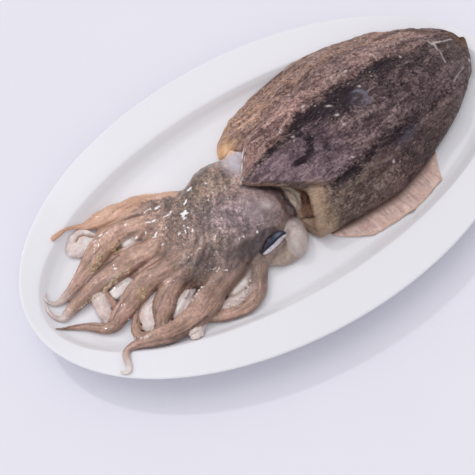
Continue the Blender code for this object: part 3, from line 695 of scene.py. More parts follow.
def build_mantle():
    top_n, low_n = 250, 60
    ang = np.concatenate((np.linspace(0, np.pi, top_n, endpoint=False),
                          np.pi + np.linspace(0, np.pi, low_n, endpoint=False)))
    across, rise = np.cos(ang), np.sin(ang)
    across[np.abs(across) < 1e-12] = 0.0
    flat = np.sign(across) * np.abs(across) ** np.where(across < 0, 0.92, 0.96)
    far_side = across > 0

    def width_at(s):
        return np.where(far_side, table(s, FAR_EDGE), near_half(s))

    # Front margin of each strand, from the width it has there.
    start = np.full(len(ang), 15.0)
    for _ in range(16):
        start = 0.6 * start + 0.4 * table(flat * width_at(start), MARGIN)
    near_end, far_end = table(-near_half(21.0), MARGIN), table(table(10.0, FAR_EDGE), MARGIN)
    mix = 0.5 - 0.5 * flat
    low_start = np.interp(flat, (-1.0, -0.9, -0.8, -0.66, -0.3, 0.3, 1.0), (near_end, 18.2, 17.0, 17.6, 20.0, 19.0, far_end))
    start = np.where(rise < -1e-9, low_start, start)

    # The wall is thicker where it rolls out on the near side below.
    heavy = np.where(rise < -1e-9, smooth(-0.30, -0.62, flat), smooth(-0.86, -1.0, flat))
    heavy = 1.0 + 1.25 * heavy

    def rows(forward, inset):
        inset = inset[:, None] * heavy[None, :]
        f = forward[:, None]
        s = start[None, :] + f * (LENGTH - 0.05 - start[None, :])
        width = np.maximum(width_at(s) - np.minimum(inset, 4.6), 0.35)
        t = flat[None, :] * width
        x, y = mantle_xy(s, t)
        u = np.abs(flat)[None, :]
        ex, ey = mantle_xy(s, np.sign(across)[None, :] * width)
        ground = glaze_height(x, y)
        edge = glaze_height(ex, ey) + np.where(far_side, 1.6, 6.0)[None, :]
        centre = FLOOR_Z + 6.0 + 0 * s
        blend = np.minimum(u * 1.15, 1.0)
        edge = blend * edge + (1 - blend) * centre
        close = taper(s, 172.0, 2.0)
        top = edge + (back_height(s) - np.minimum(inset, 4.6) - edge) * close
        lobe = np.where(far_side[None, :], (1 - u ** 2.35) ** 1.12, np.maximum(rise, 0)[None, :] ** 0.86)
        up = edge + (top - edge) * lobe
        low = ground + 0.35 + inset
        down = edge + (low - edge) * np.minimum(1.0, np.abs(rise) ** 0.45)[None, :]
        z = np.where(rise[None, :] >= 0, up, down)
        return np.stack((x, y, z), -1), s, t

    wall = 4.2
    f_in = np.array([26.0, 24.0, 21.0, 18.0, 15.0, 12.0, 9.5, 7.0, 5.4, 4.0, 2.9, 1.9, 1.1]) / LENGTH
    inset_in = wall * (1.0 - 0.10 * np.linspace(0, 1, len(f_in)) ** 3)
    turn = np.linspace(np.pi, 0, 9)
    f_lip = 0.0050 - 0.0065 * np.sin(turn)
    inset_lip = wall * (0.46 - 0.44 * np.cos(turn))
    w = np.linspace(0, 1, 298)[1:]
    f_out = 1.0 - (1.0 - w) ** 1.35
    f_out = f_out[f_out < 0.9985]
    f_out = f_out[f_out > 0.0065]
    forward = np.concatenate((f_in, f_lip, f_out))
    inset = np.concatenate((inset_in, inset_lip[::-1] if inset_lip[0] < inset_lip[-1] else inset_lip, np.zeros(len(f_out))))
    pts, s, t = rows(forward, inset)
    rows_n, cols = s.shape
    quads = grid_faces(rows_n, cols, True)
    flat_pts = pts.reshape(-1, 3)
    n = normals_of(flat_pts, quads)
    if n[(rows_n // 2) * cols + top_n // 2, 2] < 0:
        n = -n
    outer = np.repeat(smooth(len(f_in) + 3, len(f_in) + 12, np.arange(rows_n))[:, None], cols, 1).ravel()
    s_, t_ = s.ravel(), t.ravel()
    is_top = np.tile((rise >= -1e-9).astype(float), rows_n)
    relief = mantle_relief(s_, t_) * outer * is_top
    # The tone is partly painted shade: lighter on the raised bumps of the relief and darker in the hollows between
    # them. Elsewhere it makes broad patches lighter or darker.
    tone = 1.0 + 0.16 * noise(s_ / 6.5, t_ / 4.5, 4.1, 8, 2) + 0.12 * noise(s_ / 3.0, t_ / 2.5, 7.7, 9, 2)
    tone *= 1.0 - 0.16 * smooth(75, 110, s_) * smooth(8, 0, t_) + 0.05 * blob(s_, t_, 40, -18, 30, 14)
    tone *= 1.0 - 0.18 * blob(s_, t_, 170, -20, 45, 22) - 0.12 * smooth(-40, -48, t_) * smooth(90, 130, s_)
    tone *= 1.0 + 0.10 * blob(s_, t_, 60, 22, 40, 9) + 0.16 * smooth(34, 46, t_) + 0.12 * blob(s_, t_, 140, 22, 50, 12)
    tone *= 1.0 + 0.16 * blob(s_, t_, 38, 44, 26, 14) + 0.14 * blob(s_, t_, 165, 38, 26, 14) - 0.09 * smooth(18, 8, t_) * smooth(30, 60, s_)
    tone *= 1.0 - 0.10 * blob(s_, t_, 185, -4, 18, 12) + 0.05 * smooth(8, 18, t_ - midline(s_) + 8) * smooth(20, 50, s_)
    tone *= 1.0 + 0.12 * blob(s_, t_, 132, 24, 26, 10) + 0.08 * blob(s_, t_, 45, 42, 16, 10) + 0.08 * blob(s_, t_, 150, 34, 20, 9)
    tone *= 1.0 + 0.10 * blob(s_, t_, 68, 17, 12, 6) + 0.05 * smooth(150, 175, s_)
    tone *= 1.0 - 0.10 * smooth(-28, -36, t_) * smooth(30, 12, s_)
    tone *= 1.0 + 0.24 * blob(s_, t_, 98, -24, 14, 7) + 0.10 * blob(s_, t_, 116, -12, 12, 10)
    tone *= 1.0 - 0.16 * blob(s_, t_, 84, 4, 14, 10) - 0.12 * blob(s_, t_, 104, 12, 14, 8) - 0.12 * blob(s_, t_, 76, -22, 12, 7) - 0.12 * blob(s_, t_, 116, -44, 20, 5)
    # The wall is thick and rolled where it bounds the opening.
    lip_at = s_ - table(t_, MARGIN)
    relief += is_top * outer * 1.0 * bell(lip_at, 5.5, 5.0) * smooth(-28, -37, t_)
    rim_u = np.tile(np.where(far_side, np.abs(flat), 0.0), rows_n)
    relief += is_top * outer * smooth(0.72, 0.9, rim_u) * (1.0 * noise(s_ / 9.0, 0.2, 0.7, 41, 2) + 0.5)
    edge_fade = np.tile(smooth(0.0, 0.16, np.maximum(rise, 0)), rows_n)
    relief *= edge_fade * (1 - smooth(213, 219.5, s_))
    flat_pts = flat_pts + n * relief[:, None]
    keep = glaze_height(flat_pts[:, 0], flat_pts[:, 1]) + 0.33
    flat_pts[:, 2] = np.maximum(flat_pts[:, 2], keep)
    flat_pts[:, 2] = np.minimum(flat_pts[:, 2], 47.2)

    # Where each tone of the skin lies, with painted shade and painted highlights among them.
    side = np.where(t_ > 0, t_ / np.maximum(table(s_, FAR_EDGE), 1), t_ / np.maximum(near_half(s_), 1))
    mid = midline(s_)
    front = s_ - table(t_, MARGIN)
    dark = table(s_, ((2, 0.30), (15, 0.8), (40, 1.05), (62, 1.15), (100, 1.25), (118, 0.95), (135, 1.05), (150, 0.95), (162, 0.55), (190, 0.30), (208, 0.1))) \
        * bell(t_, mid, table(s_, ((0, 1.6), (20, 2.4), (45, 4.0), (60, 6.4), (80, 8.0), (97, 8.5), (115, 7.0), (148, 6.0), (165, 6.0), (190, 6))))
    dark += 0.60 * blob(s_, t_, 94.0, -2.0, 12.0, 8.0) + 0.35 * blob(s_, t_, 140.0, 7.0, 11.0, 6.0)
    dark += 0.40 * blob(s_, t_, 93.0, 5.0, 12.0, 5.0) + 0.45 * blob(s_, t_, 78.0, -2.0, 14.0, 7.0) + 0.42 * blob(s_, t_, 127.0, -5.0, 14.0, 9.0)
    dark += 0.25 * blob(s_, t_, 168.0, -8.0, 20.0, 12.0) + 0.36 * blob(s_, t_, 84.0, -21.0, 22.0, 6.0) + 0.3 * blob(s_, t_, 190, 0, 8, 6)
    dark += 0.25 * blob(s_, t_, 58.0, -22.0, 6.0, 6.0) + 0.3 * blob(s_, t_, 110, -43, 20, 4.5) + 0.45 * blob(s_, t_, 38, 14, 24, 4.5, 3)
    dark += 0.35 * bell(t_, midline(s_) + 4.0, 3.0) * smooth(14, 30, s_) * (1 - smooth(60, 80, s_)) + 0.3 * blob(s_, t_, 62, 27, 16, 3.0, 6)
    dark += 0.16 * blob(s_, t_, 105.0, 24.0, 16.0, 4.0) + 0.10 * blob(s_, t_, 170.0, 10.0, 16.0, 6.0)
    # Painted shade in and below the near groove, where the shield meets the flank.
    dark += 0.85 * bell(t_, near_groove(s_) - 2.0, table(s_, ((30, 1.5), (50, 3.4), (80, 4.0), (120, 4.2), (170, 4.4)))) \
        * smooth(34, 56, s_) * (1 - 0.5 * smooth(110, 140, s_)) * (1 - smooth(165, 200, s_))
    dark += 0.65 * blob(s_, t_, 110, -45, 16, 4.0, 6) + 0.5 * blob(s_, t_, 55, -43, 14, 4.5, 0)
    # Painted shade along the valley of the far crease.
    dark += 0.50 * bell(t_, far_crease(s_) + 0.0, 2.8) * smooth(20, 40, s_) * (1 - smooth(125, 175, s_))
    dark += 0.40 * blob(s_, t_, 30, 32, 14, 3.5, 12)
    dark += 0.45 * smooth(-48, -56, t_) * smooth(70, 110, s_)
    ring = np.hypot((s_ - 41.0) / 1.2, (t_ + 5.0))
    dark += 1.5 * bell(ring, 10.4, 2.8) * smooth(-6, 6, s_ - 41.0 - 0.7 * (t_ + 5.0)) * smooth(3, -1, t_)
    dark += 0.5 * blob(s_, t_, 38, -15.5, 8, 2.6, -8)
    dark += 0.55 * blob(s_, t_, 61, -15, 3, 6, -20) + 0.5 * blob(s_, t_, 121, -18, 5, 6, 0) + 0.14 * blob(s_, t_, 150, -12, 14, 12, 0)
    dark += 0.22 * smooth(75, 100, s_) * smooth(4, -6, t_) * smooth(-36, -26, t_) * (1 - smooth(175, 190, s_))
    dark *= smooth(3, 10, front + 3)
    violet = smooth(-1, 5, mid - t_) * (1 - smooth(62, 95, s_)) * smooth(-1.5, 2.0, t_ - near_groove(s_))
    violet = np.maximum(violet, 0.45 * smooth(0, 14, mid - t_) * smooth(-48, -38, t_))
    russet = smooth(-1, 4, t_ - mid) * smooth(4, -2, t_ - far_crease(s_)) * (1 - 0.75 * smooth(50, 110, s_))
    russet = np.maximum(russet, 0.6 * blob(s_, t_, 185, 14, 18, 8) )
    warm = smooth(-2, 6, t_ - far_crease(s_)) * (1 - 0.40 * smooth(50, 110, s_))
    olive = smooth(2, -3, t_ - near_groove(s_)) * (1 - smooth(50, 100, s_))
    olive = np.maximum(olive, 0.75 * blob(s_, t_, 200, -14, 15, 15))
    rim = 0.45 * smooth(0.90, 1.0, side) * (1 - smooth(25, 80, s_))
    rim = np.maximum(rim, 1.15 * blob(s_, t_, 12.5, 39.0, 8.0, 9.0))
    rim = np.maximum(rim, 0.15 * smooth(214, 220, s_))
    pale = 0.85 * (1 - smooth(2.0, 21.0, front + 5.0 * noise(t_ / 6.0, s_ / 6.0, 0.1, 51, 2))) * smooth(-30, -37, t_)
    pale = np.maximum(pale, 0.38 * (1 - smooth(0.3, 1.6, front)) * smooth(-24, -16, t_) * smooth(2, -1, t_))
    # Painted highlight: a broken white wet line along the front edge on the far side.
    gaps = np.clip(0.75 + 1.3 * noise(t_ / 2.6, 0.3, 0.9, 61, 2), 0, 1)
    white = (0.95 * (1 - smooth(0.8, 2.3, front)) * gaps + 0.5 * bell(front, 3.4, 0.5) * (1.2 - gaps) * smooth(4, 8, t_)) * smooth(1, 5, t_) * smooth(22, 17, t_)
    pale = np.maximum(pale, 0.45 * blob(s_, t_, 33.5, -30.5, 4.0, 1.8, -40))
    # A forked pale tear in the skin near the tail.
    def line(s0, t0, s1, t1, width):
        d = np.array([s1 - s0, t1 - t0])
        w_ = np.clip(((s_ - s0) * d[0] + (t_ - t0) * d[1]) / (d @ d), 0, 1)
        return bell(np.hypot(s_ - s0 - w_ * d[0], t_ - t0 - w_ * d[1]), 0, width)
    tear = np.maximum.reduce([line(187, 9, 190, 3, 0.9), line(190, 3, 195, 1, 1.1), 0.8 * line(195, 1, 211, 0, 0.7),
                              line(191, 3, 188, -5, 0.8), 0.8 * line(188, -5, 181, -17, 0.6), 0.45 * line(176, -32, 196, -25, 0.6)])
    white = np.maximum(white, 0.62 * tear * is_top)
    # Single light marks, painted highlights of wet glints.
    for fs, ft, longer, wider, lean in ((83.2, 4.8, 1.9, 1.0, -50), (81.6, -4.9, 1.4, 0.8, -16), (69.7, 16.4, 1.8, 0.7, 6),
                                        (114.1, 19.3, 1.3, 0.7, 0), (111.4, 3.1, 0.8, 0.8, 0), (90.9, -53.7, 1.1, 0.8, 35), (47.0, 2.0, 0.9, 0.7, 60),
                                        (102.9, 22.1, 0.9, 0.7, -19), (157.2, 5.7, 0.9, 0.7, 46), (43.3, 11.2, 0.8, 0.7, 0), (45.3, 12.4, 0.9, 0.7, 66),
                                        (72.4, 33.2, 0.8, 0.7, 77), (80.5, -13.3, 0.8, 0.8, 0), (67.7, -34.9, 0.8, 0.7, 38), (208.1, -21.1, 1.3, 0.9, 43)):
        white = np.maximum(white, 0.9 * is_top * blob(s_, t_, fs, ft, longer, wider, lean))
    # A blue-grey ring mark in the middle of the back, and a painted blue sheen low on the near flank.
    ring = np.hypot(s_ - 103.0, (t_ + 4.0) * 1.05)
    blue_mark_and_sheen = 0.7 * bell(ring, 7.2, 1.1) * smooth(-2, 5, s_ - 103.0) + 0.22 * blob(s_, t_, 112, -46, 12, 2.2, 8) + 0.18 * blob(s_, t_, 104, -4, 7, 7)
    inner = 1.0 - np.repeat(smooth(len(f_in) - 1, len(f_in) + 7, np.arange(rows_n))[:, None], cols, 1)
    rolled = 1.0 - np.repeat(smooth(2, 7, np.arange(rows_n))[:, None], cols, 1)
    near_low = np.clip(heavy - 1.0, 0, 1)[None, :]
    inner = (inner * (1 - near_low) + rolled * near_low).ravel()
    pale = np.maximum(pale, (near_low * np.repeat(smooth(3, 8, np.arange(rows_n))[:, None], cols, 1)
                             * np.repeat(1 - smooth(len(f_in) + 6, len(f_in) + 16, np.arange(rows_n))[:, None], cols, 1)).ravel() * 0.78)
    # What shows through the opening beside the head is brown, partly the flesh inside and partly painted shade of the
    # recess, with a line of painted shade under it.
    RX, RY = seen(*flat_pts.T, 25.0)
    hollow = within(RX, RY, ((-3.4, -17.5), (-0.6, -27.0), (-0.8, -33.0), (-2.4, -37.0), (-5.6, -39.4), (-9.2, -38.6), (-10.8, -35.6), (-4.8, -20.6)), 1.2)
    below = (1 - outer * is_top)
    inner = np.maximum(inner, hollow * below)
    crease_shade_line = smooth(1.5, 0.5, np.abs((RX + 8.8) * 0.45 + (RY + 38.6) * 0.89)) * smooth(6.0, 4.0, np.abs((RX + 8.8) * 0.89 - (RY + 38.6) * 0.45)) * below
    pale = pale * (1 - hollow * below)
    n_v = rows_n * cols
    clip01 = lambda v: np.clip(v, 0, 1)
    round_t = np.sign(t_) * (np.abs(t_) + 0.8 * np.clip(46.0 - flat_pts[:, 2], 0, 50) * smooth(0, 18, np.abs(t_)))
    attrs = {"slit": clip01(crease_shade_line), "s": s_, "t": round_t, "dark": np.clip(dark, 0, 1.3) * outer, "warm": clip01(warm), "pale": clip01(pale),
             "violet": clip01(violet), "rim": clip01(rim), "russet": clip01(russet), "olive": clip01(olive),
             "white": clip01(white), "blue_mark_and_sheen": clip01(blue_mark_and_sheen), "inner": clip01(inner), "tone": tone,
             "bold": clip01(1.0 - 0.50 * blob(s_, t_, 35, -16, 36, 17) - 0.25 * blob(s_, t_, 200, -12, 16, 16) - 0.30 * smooth(-38, -46, t_)),
             "painted_glint_area": clip01(0.40 + 0.8 * blob(s_, t_, 60, 12, 45, 22) + 0.6 * blob(s_, t_, 120, 10, 40, 14))}
    c0, c1 = flat_pts[:cols].mean(0), flat_pts[-cols:].mean(0)
    flat_pts = np.vstack((flat_pts, c0, c1))
    attrs = {k: np.concatenate((v, [v[0], v[-1]])) for k, v in attrs.items()}
    obj = make_object("mantle_skin", flat_pts, quads, attrs)
    add_triangles(obj, np.vstack((fan(np.arange(cols), n_v, True), fan(np.arange(n_v - cols, n_v), n_v + 1, False))))
    orient_outwards(obj)
    obj.data.materials.append(mantle_material())
    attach(obj, "root")
    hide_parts("cuttlefish")
    print("mantle triangles", 2 * len(quads))
    return obj


def build_fin(name, side, start, end, width, opening, corner, overlap, material):
    """Thin ruffled flap along one flank, lying on the glaze."""
    rows, cols = 260, 26
    w = np.linspace(0, 1, rows)[:, None]
    s = start + w * (end - start)
    half = near_half(s) if side < 0 else far_half(s)
    reach = width * np.minimum(1.0, opening * w) ** 0.75 * np.minimum(1.0, (1.0 - w) / (1.0 - corner)) + 0.8
    reach = reach * (1 + 0.07 * noise(s / 11.0, side, 0.0, 12, 2)) + 0.25 * noise(s / 4.0, side, 2.0, 13)
    out = np.linspace(0, 1, cols)[None, :]
    inward = overlap - out * (overlap + reach)
    t = side * (half - inward)
    x, y = mantle_xy(s + 0 * t, t)
    beyond = smooth(0.30, 1.0, out)
    lift = 1.3 * beyond * (0.5 + 0.5 * noise(s / 9.0, side, 3.0, 14, 2)) + 0.5 * beyond * noise(s / 3.4, out * 2, 6.0, 15)
    lift = np.maximum(lift, 0.0)
    lift += 1.8 * np.exp(-((s - (start + 0.52 * (end - start))) / 2.2) ** 2) * beyond * (1 if side < 0 else 0)
    low = glaze_height(x, y) + 0.35 + lift * 0.9
    thick = 2.5 - 1.6 * smooth(0.25, 0.97, out)
    thick = thick * np.sqrt(np.clip((1.0 - out) / 0.06, 0.03, 1.0)) + 0 * low
    high = low + thick
    n = rows * cols
    pts = np.vstack((np.stack((x, y, high), -1).reshape(-1, 3), np.stack((x, y, low), -1).reshape(-1, 3)))
    top = grid_faces(rows, cols, False)
    under = top[:, ::-1] + n
    walls = []
    for line in (np.arange(rows) * cols, np.arange(rows) * cols + cols - 1, np.arange(cols), n - cols + np.arange(cols)):
        walls.append(np.stack((line[:-1], line[1:], line[1:] + n, line[:-1] + n), 1))
    quads = np.vstack([top, under] + walls)
    both = lambda v: np.concatenate((np.broadcast_to(v, x.shape).ravel(),) * 2)
    beyond_body = np.clip(-inward / np.maximum(reach, 1e-6), 0, 1)
    obj = make_object(name, pts, quads, {"s": both(s), "out": both(beyond_body), "far": both(float(side > 0))})
    orient_outwards(obj)
    obj.data.materials.append(material)
    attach(obj, "root")
    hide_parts("cuttlefish")
    return obj


# ---------------------------------------------------------------------------
# head and arms: one smooth body read from a distance field
# ---------------------------------------------------------------------------
HEAD = (
    (10.0, -22.0, 26.0, 26.0), (-2.0, -26.0, 33.0, 28.0), (-10.0, -29.0, 37.0, 29.5), (-20.0, -30.0, 37.0, 32.0),
    (-34.0, -36.0, 36.5, 34.0), (-48.0, -38.0, 37.5, 33.5), (-60.0, -40.0, 34.0, 32.0), (-72.0, -38.0, 31.5, 29.5),
    (-84.0, -35.0, 30.5, 26.5), (-98.0, -30.0, 31.0, 22.5), (-110.0, -24.0, 31.0, 18.5), (-122.0, -16.0, 29.0, 14.0),
    (-132.0, -6.0, 26.0, 10.5),
)
# Plan place, radius and lift off the glaze, from base to tip.
ARMS = {
    "far_arm": ((-58, 24, 6, 4), (-70, 31.5, 6, 2), (-82, 39, 6.6, 0.5), (-92, 43.4, 7.0, 0), (-102, 46, 7.2, 0),
                (-112, 48, 7.2, 0), (-121, 49.2, 6.4, 0), (-127, 50.6, 4.6, 0), (-132, 51.6, 2.8, 0), (-138, 53, 1.6, 0),
                (-146, 53, 1.4, 0), (-151, 51.8, 1.9, 0), (-156, 50.8, 2.0, 0)),
    "upper_arm": ((-64, 10, 7.5, 7), (-84, 18, 6.6, 6), (-100, 26.5, 6.8, 4), (-112, 31, 7.6, 2.4), (-122, 31.5, 8.6, 1.2),
                  (-131, 30, 9.0, 0.8), (-139, 26.4, 8.2, 0.4), (-147, 23, 6.4, 0), (-155, 19, 5.4, 0), (-162, 15.4, 4.8, 0),
                  (-168, 13.2, 3.8, 0), (-174, 12, 2.5, 0), (-179, 12.4, 1.8, 0), (-182.4, 15, 1.3, 0),
                  (-182.2, 18, 1.0, 0), (-179.5, 21, 0.7, 0)),
    "left_arm": ((-62, -6, 8, 8), (-80, -1, 7.4, 7), (-100, 6, 7.6, 4), (-114, 8.4, 8.2, 2), (-128, 9, 8.6, 0.8),
                 (-140, 9, 7.9, 0.3), (-150, 8.4, 7.3, 0), (-159, 5.8, 5.6, 0), (-167, 4, 4.9, 0), (-174, 2, 3.8, 0),
                 (-179.5, 0, 2.6, 0), (-183.2, 2, 1.9, 0), (-185.2, 6.2, 1.4, 0), (-184.8, 10.8, 1.0, 0), (-184, 13.2, 0.8, 0)),
    "middle_arm": ((-64, -17, 8.5, 8), (-83, -14.5, 8.4, 6), (-100, -12, 8.6, 3.4), (-113, -11, 9.0, 1.6),
                   (-124, -11.4, 8.2, 0.6), (-134, -14, 7.4, 0), (-143, -18, 7.0, 0), (-150.4, -21, 6.2, 0),
                   (-156, -23.3, 4.9, 0), (-161.5, -21.6, 4.1, 0), (-166, -17, 3.6, 0), (-171, -12.6, 2.8, 0),
                   (-176.5, -9.4, 2.1, 0), (-182, -7.2, 1.4, 0), (-189, -5.8, 0.7, 0)),
    "hooked_arm": ((-124, -14, 3.2, 0), (-131, -19.5, 2.8, 0), (-137.6, -24.6, 2.6, 0), (-143.4, -29.6, 2.9, 0),
                   (-146.4, -34.6, 3.1, 0), (-146, -39, 3.0, 0), (-142, -41.6, 2.8, 0), (-136, -41.5, 2.5, 0)),
    "hook_edge": ((-131, -18.5, 1.1, 2.5), (-136.5, -23.4, 1.0, 3.0), (-141.4, -28.6, 1.0, 3.0), (-142.6, -33.6, 1.0, 2.0),
                  (-140.6, -38, 1.1, 1.0)),
    "short_arm": ((-82, -12, 8, 4), (-98, -19, 8.2, 2), (-108, -22.6, 7.8, 1), (-116.5, -26.6, 7.3, 0.5),
                  (-122.4, -32, 7.0, 0.3), (-127.6, -37.6, 6.2, 0), (-131, -42, 5.2, 0), (-134.5, -45, 3.6, 0)),
    "front_arm": ((-58, -26, 10, 4), (-72, -36, 9.6, 2.5), (-88, -41.4, 9.2, 1), (-99, -47, 9.2, 0.5), (-109, -50, 8.4, 0.5),
                  (-120.4, -50.8, 7.6, 1), (-131, -50.9, 6.8, 1), (-141, -48.6, 5.2, 0.8), (-149.4, -46, 3.6, 0.5),
                  (-156, -45, 2.7, 0.3), (-160.8, -47.4, 2.5, 0.2), (-163, -52.6, 2.3, 0.2), (-164, -57, 1.9, 0.2),
                  (-166.2, -60.2, 1.4, 0.2), (-169, -59.6, 1.1, 0.2), (-171, -57, 0.8, 0.2)),
    "front_fold": ((-92, -38, 3.0, 3.0), (-103, -41, 2.8, 2.0), (-115, -44.6, 2.8, 0), (-126, -45, 2.6, 0), (-136, -44, 2.2, 0)),
    "looped_arm": ((-46, -38, 7, 3), (-53, -44, 6.0, 1), (-59.5, -52, 5.2, 0), (-65, -58.6, 4.8, 0), (-72.4, -62.6, 4.7, 0),
                   (-81.6, -63.6, 4.6, 0), (-91.6, -60.8, 4.3, 0), (-99.6, -56.8, 3.8, 0), (-106, -53, 3.2, 0)),
    "loop_web": ((-56, -42, 5.0, 0), (-64, -48.6, 5.4, 0), (-73, -54, 5.6, 0), (-83, -56, 5.2, 0), (-93, -54.6, 4.4, 0)),
    "pale_arm": ((-150, 6, 4.0, 0), (-152.6, 2, 4.6, 0), (-154.6, -6, 5.2, 0), (-156.0, -14.0, 4.8, 0), (-155.0, -21.5, 3.6, 0)),
    "pale_arm_edge": ((-145.0, 6, 2.0, 1), (-147.6, 1, 2.1, 1.5), (-148.4, -4, 2.2, 2), (-147.6, -9.5, 2.4, 1.5), (-148.4, -15, 2.4, 1)),
    "inner_club": ((-118, -20, 3.0, 0), (-128, -25.4, 4.2, 0), (-135, -31, 4.8, 0), (-137, -36.5, 4.4, 0)),
    "web_club": ((-98, -29, 3.0, 0), (-106, -33.4, 4.2, 0), (-113.6, -38, 4.4, 0), (-119, -41, 3.4, 0)),
    "gap_web": ((-86, -26, 7.0, 2), (-97, -27, 5.6, 0), (-104, -27.5, 3.6, 0)),
    "crown_web": ((-88, 21, 6.0, 3), (-102, 21, 6.0, 1), (-112, 18.5, 5.0, 0)),
    "club_tip": ((-106, -52, 3.0, 0), (-111.4, -57, 3.8, 0), (-116.2, -60.4, 4.4, 0), (-118.2, -62.0, 3.8, 0)),
    "white_web": ((-126, -0.5, 4.6, 0.4), (-134, -2.4, 5.4, 0.3), (-142, -4.0, 4.8, 0)),
    "loop_fill": ((-58, -41, 5.4, 1), (-67, -46.5, 5.6, 1), (-78, -51, 4.8, 0.5)),
    "window_pad": ((-110, 21.5, 3.0, 2.6), (-117.5, 22.6, 3.2, 2.4)),
    "far_seam": ((-130, 41.0, 2.6, 0.4), (-118, 41.5, 4.0, 0.8), (-104, 38.4, 5.4, 1.6), (-90, 34.0, 6.0, 3.0), (-78, 29.0, 6.0, 4.0)),
    "upper_seam": ((-168, 9.6, 1.8, 0.2), (-156, 12.4, 2.6, 0.5), (-142, 16.4, 3.2, 1.0), (-128, 18.6, 3.4, 1.6), (-114, 16.5, 4.2, 2.6)),
    "middle_seam": ((-130, -0.5, 3.0, 1.0), (-120, -1.6, 4.4, 1.8), (-106, -3.0, 5.6, 3.6), (-92, -5.5, 6.0, 6.0)),
}
PALE = {"pale_arm": 0.62, "inner_club": 1.0, "web_club": 0.95, "club_tip": 0.8, "loop_web": 0.75, "loop_fill": 0.8,
        "white_web": 1.0, "window_pad": 1.0}
TAN = {"far_seam": 0.45, "far_arm": 1.0, "hooked_arm": 0.2, "hook_edge": 0.3}
SQUASH = 1.16          # arms lie a little flattened


def soft_min(a, b, k):
    h = np.clip(0.5 + 0.5 * (b - a) / k, 0.0, 1.0)
    return b * (1 - h) + a * h - k * h * (1 - h)


def ellipsoid(X, Y, Z, centre, half, turn):
    c, n = math.cos(math.radians(turn)), math.sin(math.radians(turn))
    dx, dy, dz = X - centre[0], Y - centre[1], Z - centre[2]
    a, b = (dx * c + dy * n), (-dx * n + dy * c)
    k0 = np.sqrt((a / half[0]) ** 2 + (b / half[1]) ** 2 + (dz / half[2]) ** 2)
    k1 = np.sqrt((a / half[0] ** 2) ** 2 + (b / half[1] ** 2) ** 2 + (dz / half[2] ** 2) ** 2)
    return k0 * (k0 - 1.0) / np.maximum(k1, 1e-6)


def head_distance(X, Y, Z):
    _, rows = route(HEAD, 2.0)
    order = np.argsort(rows[:, 0])
    xs = rows[order, 0]
    near, far, top = (np.interp(X, xs, rows[order, k]) for k in (1, 2, 3))
    low = FLOOR_Z - 1.0
    edge = low + 0.36 * (top - low)
    mid, half = 0.5 * (near + far), 0.5 * (far - near)
    up = np.where(Z > edge, top - edge, (edge - low) * 1.6)
    p = 2.25
    a, b = np.abs(Y - mid) / half, np.abs(Z - edge) / np.maximum(up, 0.8)
    e = (a ** p + b ** p) ** (1 / p)
    grad = np.maximum(e, 1e-3) ** (1 - p) * np.sqrt((a ** (p - 1) / half) ** 2 + (b ** (p - 1) / np.maximum(up, 0.8)) ** 2)
    d = (e - 1.0) / np.maximum(grad, 1e-3)
    return np.maximum(np.maximum(d, X - 9.0), -(X + 131.0))


def arm_lines():
    lines = {}
    for name, rows in ARMS.items():
        at, r = route(rows, 1.6)
        x, y, radius, lift = r.T
        squash = FLATTER.get(name, SQUASH)
        if name not in ("curl_hook", "hook_edge"):
            wob = 0.45 * noise(at / 13.0, float(len(name)), 0.5, 21, 2)
            radius = radius * (1 + 0.10 * noise(at / 9.0, float(len(name)), 2.5, 22, 2))
            ahead = np.gradient(r[:, :2], axis=0)
            ahead /= np.linalg.norm(ahead, axis=1, keepdims=True)
            x, y = x - ahead[:, 1] * wob, y + ahead[:, 0] * wob
        ground = glaze_height(x, y)
        ahead = np.gradient(np.stack((x, y), 1), axis=0)
        ahead /= np.linalg.norm(ahead, axis=1, keepdims=True)
        for d in (-1, 1):
            side = glaze_height(x - ahead[:, 1] * d * radius, y + ahead[:, 0] * d * radius)
            ground = np.maximum(ground, side - 0.35 * radius)
        z = ground + radius / squash * 0.94 + lift
        lines[name] = (at, np.stack((x, y, z), 1), radius, ahead, squash)
    return lines


BULGES = (
    ((-32.0, -12.4, 12.0), (24.0, 23.5, 23.0), 0.0, 2.4),
    ((-22.0, -7.0, 15.0), (12.5, 12.5, 16.0), 0.0, 3.0),
    ((-43.0, -24.0, 12.0), (19.5, 19.5, 18.5), 0.0, 4.0),
    ((-38.0, -37.0, 12.0), (15.0, 12.0, 10.5), 0.0, 4.0),
    ((-41.0, 23.5, 17.5), (18.5, 15.0, 14.2), -4.0, 6.0),
    ((-25.5, -10.0, 31.6), (4.5, 4.0, 3.2), 30.0, 2.0),
    ((-22.5, -17.5, 28.6), (3.6, 3.2, 3.0), 30.0, 1.6),
    ((-21.0, -41.5, 15.5), (8.4, 15.0, 8.2), -28.0, 2.0),
    ((-36.0, -47.5, 12.5), (12.5, 6.6, 4.6), -20.0, 2.5),
    ((-143.0, 43.5, 11.6), (14.0, 11.0, 4.6), -36.0, 0.8),
    ((-12.0, 31.0, 20.5), (12.0, 11.5, 9.5), 0.0, 3.0),
)
